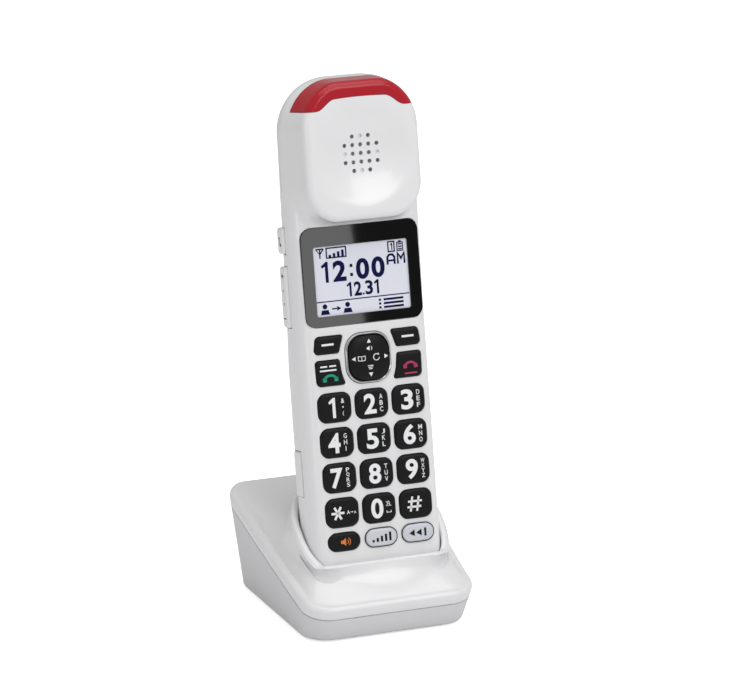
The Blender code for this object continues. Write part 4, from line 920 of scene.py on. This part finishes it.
# %% [markdown]
# Large digits with the usual small letters beside them are printed on the number keys. A texture could
# carry them, but a thin mesh stays sharp from close by. The marks are drawn in millimetres from the
# middle of each key.

# %% Number keys
side_letters = {"2": "ABC", "3": "DEF", "4": "GHI", "5": "JKL", "6": "MNO", "7": "PQRS", "8": "TUV", "9": "WXYZ"}
DIGIT = (4.9, 7.6, 0.03)
for label in "123456789":
    name = "key_" + label
    shift = {-1: 1.4, 0: 0.9, 1: 0.8}[round(keys[name][0] / KEY_PITCH)]
    marks = [numeral(label, -shift, 0, *DIGIT)]
    column = side_letters.get(label, "&'(")
    pitch, tall = (1.9, 1.55) if len(column) > 3 else (2.4, 1.8)
    for k, small in enumerate(column):
        wide = {"I": 0.3, "'": 0.5, "(": 0.5, "M": 1.56, "W": 1.56}.get(small, 1.3)
        marks.append(letters(small, 4.5 - shift, ((len(column) - 1) / 2 - k) * pitch, wide,
                             0.6 if small == "'" else tall, 0.012))
    printed(name + "_print", marks, name, keys[name][:2])
print("digits:", len(side_letters) + 1)

# %% Star, zero and hash keys
bell = stroke([(2.7, 0.6), (3.1, 1.0), (3.2, 1.9), (3.6, 2.3), (4.0, 1.9), (4.1, 1.0), (4.5, 0.6)], 0.2, True)
space = stroke([(2.8, -1.2), (2.8, -1.9), (4.5, -1.9), (4.5, -1.2)], 0.25)
slash = stroke([(2.6, 2.3), (4.6, 0.4)], 0.2)
printed("key_0_print", [letters("0", -1.0, 0, *DIGIT), bell, space, slash], "key_0", keys["key_0"][:2])
star = []
for turn in (0, 60, 120):
    reach_x, reach_z = 2.6 * math.cos(math.radians(turn)), 2.7 * math.sin(math.radians(turn))
    star.append(stroke([(-2.0 - reach_x, -reach_z), (-2.0 + reach_x, reach_z)], 0.9))
case_change = [letters("A", 2.2, 0, 1.2, 1.4, 0.012), letters("A", 4.9, -0.2, 0.9, 1.0, 0.012),
               stroke([(3.0, 0), (3.8, 0)], 0.2), arrow(3.9, 0, 0.4, 0)]
printed("key_star_print", star + case_change, "key_star", keys["key_star"][:2])
hatch = [stroke(line, 0.8) for line in ([(-1.9, -2.8), (-0.9, 2.8)], [(0.7, -2.8), (1.7, 2.8)],
                                        [(-2.7, 1.0), (2.9, 1.0)], [(-3.1, -1.1), (2.5, -1.1)])]
printed("key_hash_print", hatch, "key_hash", (keys["key_hash"][0] - 0.0006, keys["key_hash"][1]))
print("star, zero and hash: 3")

# %% [markdown]
# The keys above and below the digits start functions: answer, hang up, speaker, louder, slower. On a
# real handset they often carry words. Simple symbols say the same in any language, and strokes, bars
# and arcs are enough to draw them.

# %% Call keys
for hand, side in (("left", -1), ("right", 1)):
    printed(f"soft_key_{hand}_print", [bar(0, 0, 4.8, 0.8)], "soft_key_" + hand, (side * 0.0161, 0.0944))
printed("talk_key_upper_print", [bar(-1.7, 1.0, 2.7, 0.6), bar(1.9, 1.0, 2.7, 0.6), bar(0, -0.5, 6.6, 0.6)],
        "talk_key", (-0.0166, 0.0853))


def receiver(size):
    """A telephone receiver: a bowed handle between two ends."""
    ends = [bar(side * size * 0.82, -0.2, size * 0.55, size * 0.55) for side in (-1, 1)]
    return [arc(0, -size * 0.5, size, 35, 145, size * 0.34)] + ends


printed("talk_key_lower_print", receiver(2.8), "talk_key", (-0.0159, 0.0815), "green")
printed("off_key_print", receiver(2.6) + [bar(0, -2.8, 5.0, 0.6)], "off_key", (0.0164, 0.0832), "magenta")
print("call keys: 4")

# %% Sound keys
horn = [(-1.6, -0.6), (-0.7, -0.6), (0.4, -1.5), (0.4, 1.5), (-0.7, 0.6), (-1.6, 0.6)]
waves = [arc(0.4, 0, radius, -50, 50, 0.28) for radius in (1.0, 1.8)]
printed("speaker_key_print", [plate(horn)] + waves, "speaker_key", keys["speaker_key"][:2], "orange")
rising = [bar(-3.4 + 1.7 * k, -1.15 + 0.3 * k, 0.9, 0.9 + 0.6 * k) for k in range(5)]
slower = [arrow(-2.4, 0, 1.8, 180), arrow(0.4, 0, 1.8, 180), bar(2.8, 0, 0.8, 3.1)]
# A black sleeve fills the gap round each boost and slow key: painted shade that darkens the gap's shadow line.
SHADE_SLEEVE_RINGS = ((0.00004, 0.0018), (0.00004, -0.00045), (0.00027, -0.00045), (0.00027, 0.0018))
for name, marks in (("boost_key", rising), ("slow_key", slower)):
    printed(name + "_print", marks, name, keys[name][:2], "dark")
for name in ("boost_key", "slow_key"):
    ring = ring_solid([[(x, y, z) for x, z in key_shape(name, grow)] for grow, y in SHADE_SLEEVE_RINGS])
    piece(name + "_gap_shade", ring, looks["key_black"], "handset")
print("sound keys: 3")

# %% Navigation key
marks = [arrow(0, 6.2, 1.2, 90), arrow(0, -6.2, 1.2, 270), arrow(-6.4, 0, 1.2, 180), arrow(6.4, 0, 1.2, 0)]
pages = [(-4.7, -0.8), (-4.7, 0.8), (-3.3, 0.6), (-1.9, 0.8), (-1.9, -0.8), (-3.3, -1.0)]
marks += [stroke(pages, 0.25, True), stroke([pages[2], pages[5]], 0.25)]
marks += [arc(2.6, 0, 1.2, 60, 350, 0.3), arrow(3.4, 1.0, 0.6, 330)]
marks += [plate([(-1.0, 3.1), (-0.5, 3.1), (0.1, 2.6), (0.1, 4.4), (-0.5, 3.9), (-1.0, 3.9)]),
          arc(0, 3.5, 1.0, -45, 45, 0.25)]
marks += [bar(0, -3.0 - 0.6 * k, 2.2 - 0.4 * k, 0.3) for k in range(3)]
printed("nav_print", marks, "nav_key", (0, NAV_Z), face=-0.00197)
print("navigation marks:", len(marks))

# %% [markdown]
# The display window is a black glossy panel. Its clear area shows the screen, which lies a little
# deeper, so the panel is a frame with an opening and the lit screen sits behind it.

# %% Display window
panel_mesh = carve(prism(window_shape(0.0), -0.00015, 0.00105),
                   prism(window_shape(0, SCREEN_INSET), -0.01, 0.01))
piece("window_panel", panel_mesh, looks["window_black"], "handset", ("display_window",), angle=30)
# The narrow panel is meant for this reflection alone, so it lights nothing else.
only_window = bpy.data.collections.new("only_window")
only_window.objects.link(bpy.data.objects["window_panel"])
reflection.light_linking.receiver_collection = only_window
screen_look = finish("screen_glow", (0.62, 0.63, 0.69), (0.62, 0.63, 0.69), 0.3, relief=0.0, wear=0.0,
                     emission_strength=0.14, specular_ior_level=0.2)
screen_look.node_tree.nodes["Principled BSDF"].inputs["Emission Color"].default_value = (0.85, 0.87, 1.0, 1)
SCREEN_Y = 0.00055
piece("screen_plate", prism(window_shape(-0.00002, SCREEN_INSET), SCREEN_Y, SCREEN_Y + 0.0006), screen_look,
      "handset")
print("screen behind the panel's front:", round(1000 * SCREEN_Y + 0.15, 2), "mm")

# %% [markdown]
# A lit display shows a clock, a date and small status symbols. They are placed by shares of the
# screen's width and height, the way an interface is laid out, and share one printed piece.

# %% Screen helpers
SCREEN_CORNER, SCREEN_WIDE, SCREEN_TALL = (-0.0189, 0.1309), 37.8, 26.1


def spot(u, v):
    """A place on the screen in millimetres, from shares of its width and height."""
    return u * SCREEN_WIDE, -v * SCREEN_TALL


def screen_digits(places, top, foot, bold):
    """Digits side by side, each with the shares where it starts and ends."""
    made = []
    for text, left, right in places:
        (x0, z0), (x1, z1) = spot(left, top), spot(right, foot)
        made.append(numeral(text, (x0 + x1) / 2, (z0 + z1) / 2, x1 - x0, z0 - z1, bold))
    return made


def screen_line(width, *shares, closed=False):
    return stroke([spot(*share) for share in shares], width, closed)


def screen_frame(left, top, right, foot, width):
    return screen_line(width, (left, top), (right, top), (right, foot), (left, foot), closed=True)


print("screen:", SCREEN_WIDE, "x", SCREEN_TALL, "mm")

# %% Clock and date
marks = screen_digits((("1", 0.055, 0.175), ("2", 0.20, 0.34), ("0", 0.445, 0.585), ("0", 0.61, 0.75)),
                      0.22, 0.52, 0.035)
marks += [bar(*spot(0.395, v), 1.1, 1.2) for v in (0.31, 0.44)]
marks += [screen_line(0.8, (0.785, 0.355), (0.785, 0.25), (0.805, 0.215), (0.84, 0.215), (0.86, 0.25),
                      (0.86, 0.355)),
          screen_line(0.7, (0.785, 0.30), (0.86, 0.30)),
          screen_line(0.8, (0.895, 0.355), (0.895, 0.205), (0.93, 0.28), (0.965, 0.205), (0.965, 0.355))]
marks += screen_digits((("1", 0.32, 0.40), ("2", 0.41, 0.49), ("3", 0.53, 0.61), ("1", 0.61, 0.69)),
                       0.545, 0.75, 0.03)
marks += [bar(*spot(0.508, 0.73), 0.7, 0.7), screen_line(0.4, (0.01, 0.79), (0.99, 0.79))]
print("clock and date marks:", len(marks))

# %% Status symbols
marks += [screen_line(0.5, (0.075, 0.17), (0.075, 0.04)),
          screen_line(0.3, (0.035, 0.035), (0.075, 0.11)),
          screen_line(0.5, (0.115, 0.035), (0.075, 0.11)), screen_line(0.5, (0.035, 0.035), (0.115, 0.035))]
marks += [screen_frame(left, 0.03, right, 0.17, 0.5) for left, right in ((0.145, 0.35), (0.80, 0.865))]
marks += [bar(*spot(0.18 + k * 0.045, 0.145 - k * 0.009), 1.0, 1.0 + k * 0.5) for k in range(4)]
marks += screen_digits((("1", 0.808, 0.855),), 0.05, 0.15, 0.01)
marks += [screen_frame(0.895, 0.05, 0.955, 0.17, 0.4), bar(*spot(0.925, 0.035), 1.1, 0.6)]
marks += [bar(*spot(0.925, v), 1.5, 0.5) for v in (0.075, 0.11, 0.145)]
for u in (0.09, 0.33):
    x, z = spot(u, 0.905)
    shoulders = [(x - 1.8, z - 1.8), (x + 1.8, z - 1.8), (x + 1.3, z - 0.1), (x - 1.3, z - 0.1)]
    marks += [disc(x, z + 1.2, 0.95), plate(shoulders)]
marks += [arrow(*spot(0.235, 0.90), 1.3, 0), bar(*spot(0.19, 0.90), 2.0, 0.5)]
for k in range(3):
    marks += [bar(*spot(u, 0.845 + 0.055 * k), width, 0.8) for u, width in ((0.82, 8.0), (0.675, 0.9))]
printed("screen_marks", marks, "handset", SCREEN_CORNER, "navy", SCREEN_Y)
print("screen marks:", len(marks))

# %% [markdown]
# The tone key and the volume rocker stand a millimetre out of the left side. They get the same soft
# edge as the face keys, and small dark marks.

# %% Side controls
SIDE_PROUD = 0.0010
for label, node in (("tone", "tone_key"), ("rocker", "volume_rocker")):
    low_z, high_z = side_places[label]
    rings = []
    for inset, out in ((0.0012, 0.0), (0.0006, 0.00008), (0.0002, 0.0003), (0.0, 0.0007), (0.0, 0.0035)):
        shape = outline((SIDE_Y[0] + inset, low_z + inset), (SIDE_Y[1] - inset, high_z - inset),
                        [(0.0012, 0.0012)] * 4, 6)
        rings.append([(-HALF - SIDE_PROUD + out, y, z) for y, z in shape])
    piece(node + "_cap", loft(rings), looks["white_gloss"], node, (node,), angle=50)


def side_printed(name, marks, body):
    """Marks on the left side: their x runs back along the handset's depth."""
    legend = merged([film(mark, (0, 0), 0.0) for mark in marks])
    legend.transform(Matrix(((0, 1, 0, -HALF - SIDE_PROUD), (1, 0, 0, 0), (0, 0, 1, 0), (0, 0, 0, 1))))
    piece(name, legend, inks["dark"], body, angle=30)


side_printed("volume_marks", [bar(11.3, 120.5, 2.0, 0.45), bar(11.3, 120.5, 0.45, 2.0), bar(11.3, 104.5, 2.0, 0.45),
                              arrow(11.3, 115.0, 0.7, 90), arrow(11.3, 110.0, 0.7, 270)], "volume_rocker")
side_printed("tone_mark", [disc(10.8, 132.2, 0.6), stroke([(11.4, 132.2), (11.4, 135.0)], 0.3),
                           stroke([(11.4, 135.0), (12.2, 134.4)], 0.4)], "tone_key")
print("side controls:", 2)

# %% [markdown]
# The base is two shells that meet at a seam rising towards the back. The upper one climbs in a hollow
# curve to a collar round the handset. Both are skinned over rings: the wall, the shoulder, the scoop,
# the collar and the pocket, with many rings where the surface bends.

# %% Base rings
LEAN = math.asin(along.y)
HANDSET_DEPTH = DEPTH_AT_GRIP
BASE_FRONT_Y = foot_point.y - 0.0059
BASE_REAR_Y = foot_point.y + HANDSET_DEPTH * math.cos(LEAN) + 0.0474
FOOT_HEIGHT, SEAM_FRONT, SEAM_RISE, SHOULDER, SHOULDER_EDGE = 0.0006, 0.0101, 0.0262, 0.0056, 0.0029


def ring_points(low, high, corners):
    return outline(low, high, corners, 12, 16)


def base_outline(height, inset):
    half = HALF + 0.0059 + 0.144 * height - inset
    front, rear = [corner - min(inset, corner / 2) for corner in (0.0106, 0.0090)]
    return ring_points((-half, BASE_FRONT_Y - 0.400 * height + inset),
                       (half, BASE_REAR_Y + 0.020 * height - inset), [(front, front)] * 2 + [(rear, rear)] * 2)


def seam_height(y):
    front = BASE_FRONT_Y - 0.400 * SEAM_FRONT
    rear = BASE_REAR_Y + 0.020 * (SEAM_FRONT + SEAM_RISE)
    return SEAM_FRONT + SEAM_RISE * min(max((y - front) / (rear - front), 0.0), 1.0) ** 1.13


def base_ring(lift, inset):
    """A ring on the wall that follows the seam."""
    ring = []
    for i in range(len(base_outline(0, 0))):
        height = SEAM_FRONT
        for _ in range(4):
            x, y = base_outline(height, inset)[i]
            height = seam_height(y) + lift
        ring.append(Vector((x, y, height)))
    return ring


def flat_ring(height, inset):
    return [Vector((x, y, height)) for x, y in base_outline(height, inset)]


def pocket_ring(grow, height_at):
    """A ring round the docked handset."""
    front, rear = (0.0060 + grow, 0.0100 + grow), (0.0120 + grow, 0.0120 + grow)
    points = ring_points((-HALF - grow, -grow), (HALF + grow, HANDSET_DEPTH + grow), [front, front, rear, rear])
    return [DOCK @ Vector((x, y, height_at(y))) for x, y in points]


def rim_height(y):
    return 0.0120 + 1.07 * min(max(y, 0.0), HANDSET_DEPTH)


def collar_height(y):
    share = min(max(y / HANDSET_DEPTH, 0.0), 1.0)
    return rim_height(y) - 0.0020 - 0.0100 * share * share


def blend(low, high, share, dip):
    ring = []
    for a, b in zip(low, high):
        point = a.lerp(b, share)
        back_share = min(max((a.y - foot_point.y) / (BASE_REAR_Y - foot_point.y), 0.0), 1.0)
        point.z -= dip * math.sin(math.pi * share) * (1 + 2 * back_share) / 3
        ring.append(point)
    # Corners of the rings between the two are eased, so that the slopes flow round them.
    eased = np.array(ring)
    for _ in range(int(260 * math.sin(math.pi * share))):
        eased = 0.5 * eased + 0.25 * (np.roll(eased, 1, axis=0) + np.roll(eased, -1, axis=0))
    return [Vector(p) for p in eased]


print("base from", round(BASE_FRONT_Y, 4), "to", round(BASE_REAR_Y, 4))

# %% [markdown]
# The upper shell is one closed skin: up the inside, round the seam, over the shoulder, along the scoop
# to the collar and down into the pocket. Rings alone crease where straight sides meet the corners, so
# the points of the scoop are relaxed afterwards, which lets the slopes flow into each other.

# %% Upper shell of the base
CLEAR, COLLAR, DIP, POCKET_FLOOR, RELAX_ROUNDS = 0.0004, 0.0046, 0.003, -0.0003, 110
edge = SHOULDER_EDGE
shoulder = base_ring(SHOULDER, WALL + edge / 2)
collar = pocket_ring(CLEAR + COLLAR, collar_height)
scoop = [blend(shoulder, collar, k / 10, DIP) for k in range(1, 10)]
inner_collar = pocket_ring(CLEAR + WALL + 2 * GAP, lambda y: collar_height(y) - 1.6 * WALL)
rings = [pocket_ring(CLEAR + WALL, lambda y: POCKET_FLOOR - WALL), inner_collar,
         *[[p - Vector((0, 0, 0.0030)) for p in ring] for ring in scoop[6:0:-1]],
         base_ring(SHOULDER - WALL, WALL + edge), base_ring(SHOULDER - 0.6 * edge - WALL, WALL),
         base_ring(GAP / 2, WALL), base_ring(GAP / 2, 0.0002), base_ring(GAP / 2 + 0.0002, 0.0),
         base_ring((SHOULDER - edge) / 2, 0.0)]
for k in range(7):
    turn = math.pi / 2 * k / 6
    rings.append(base_ring(SHOULDER - edge + edge * 0.96 * math.sin(turn),
                           (WALL + edge / 2) * 0.8 * (1 - math.cos(turn))))
rings += [shoulder] + scoop + [collar]
for k in range(1, 4):
    climb = (k / 4) ** 0.8
    rings.append(pocket_ring(CLEAR + COLLAR - 0.0020 * k / 4,
                             lambda y: collar_height(y) + (rim_height(y) - 0.0007 - collar_height(y)) * climb))
for k in range(9):
    turn = math.pi * k / 8
    rings.append(pocket_ring(CLEAR + 0.0013 + 0.0013 * math.cos(turn),
                             lambda y: rim_height(y) - (0.0007 if k < 4 else 0.0016) * (1 - math.sin(turn))))
rings += [pocket_ring(CLEAR, lambda y: POCKET_FLOOR)]
upper = loft(rings)
around = len(shoulder)
first, last = rings.index(shoulder) + 1, rings.index(collar) + 3
with edited(upper) as bm:
    bm.verts.ensure_lookup_table()
    loose = bm.verts[first * around:last * around]
    for _ in range(RELAX_ROUNDS):
        bmesh.ops.smooth_vert(bm, verts=loose, factor=0.5, use_axis_x=True, use_axis_y=True, use_axis_z=True)
for side in (-1, 1):
    slot_box = box((side * 0.008 - 0.0019, 0.0188, -0.010), (side * 0.008 + 0.0019, 0.0208, 0.005))
    slot_box.transform(DOCK)
    upper = carve(upper, slot_box)
piece("base_upper", upper, looks["base_gloss"], "charger", ("charger_top_shell",), lean=False,
      angle=45)
print("upper shell faces:", len(upper.polygons))

# %% [markdown]
# The lower shell is a plain tray under the seam, with holes for the feet, the screws and the inlet.
# The holes take their places from the parts in the frame, so that they always fit.

# %% Lower shell of the base
lower = loft([flat_ring(FOOT_HEIGHT, 0.0014), flat_ring(FOOT_HEIGHT + 0.0004, 0.0004),
              flat_ring(FOOT_HEIGHT + 0.0014, 0.0), base_ring(-0.004, 0.0), base_ring(-GAP / 2 - 0.0002, 0.0),
              base_ring(-GAP / 2, 0.0002), base_ring(-GAP / 2, WALL), flat_ring(FOOT_HEIGHT + WALL, WALL)])
holes = []
for name in frame["nodes"]:
    if not name.startswith(("foot_", "charger_screw")):
        continue
    low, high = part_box(name)
    middle = [(a + b) / 2 for a, b in zip(low, high)]
    radius = (high[0] - low[0]) / 2 + GAP
    if name.startswith("foot_"):
        holes.append(rod(middle, 2, radius, -0.001, high[2] + GAP, 32))
    else:
        holes.append(rod(middle, 2, radius, -0.001, FOOT_HEIGHT + 0.001, 24))
        holes.append(rod(middle, 2, 0.0014, 0.0, 0.006, 16))
inlet_low, inlet_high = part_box("dc_inlet")
holes.append(box((inlet_low[0] - GAP, inlet_high[1] - 0.006, inlet_low[2] - GAP),
                 (inlet_high[0] + GAP, inlet_high[1] + 0.004, inlet_high[2] + GAP)))
for hole in holes:
    lower = carve(lower, hole)
piece("base_lower_shell", lower, looks["base_lower"], "charger", ("charger_bottom_shell",),
      lean=False, angle=45)
print("lower shell faces:", len(lower.polygons))

# %% [markdown]
# The parts inside keep the shape they have in the frame. Real edges are never knife-sharp, and a narrow
# bevel on each lets them catch the light. A modifier does that without changing the mesh.

# %% Broken edges
SIDES, CORNERS = ("left", "right"), ("front_left", "front_right", "rear_left", "rear_right")
inside = ["battery_cover", "jack_cover", "dc_inlet", "headset_jack", "earpiece_speaker", "rear_loudspeaker",
          "display_module"]
inside += [f"{part}_{side}" for part in ("battery_cell", "case_screw", "charger_screw", "handset_contact")
           for side in SIDES]
inside += ["foot_" + corner for corner in CORNERS]
for name in inside:
    edges = frame["nodes"][name].modifiers.new("broken_edges", "BEVEL")
    edges.width = 0.0002
    edges.segments = 2
    edges.limit_method = "ANGLE"
    edges.angle_limit = math.radians(40)
print("parts shown as framed:", sum(not node.hide_render for node in frame["nodes"].values()))

# %% [markdown]
# Last, the scene is brought up to date.

# %% Finish
bpy.context.view_layer.update()
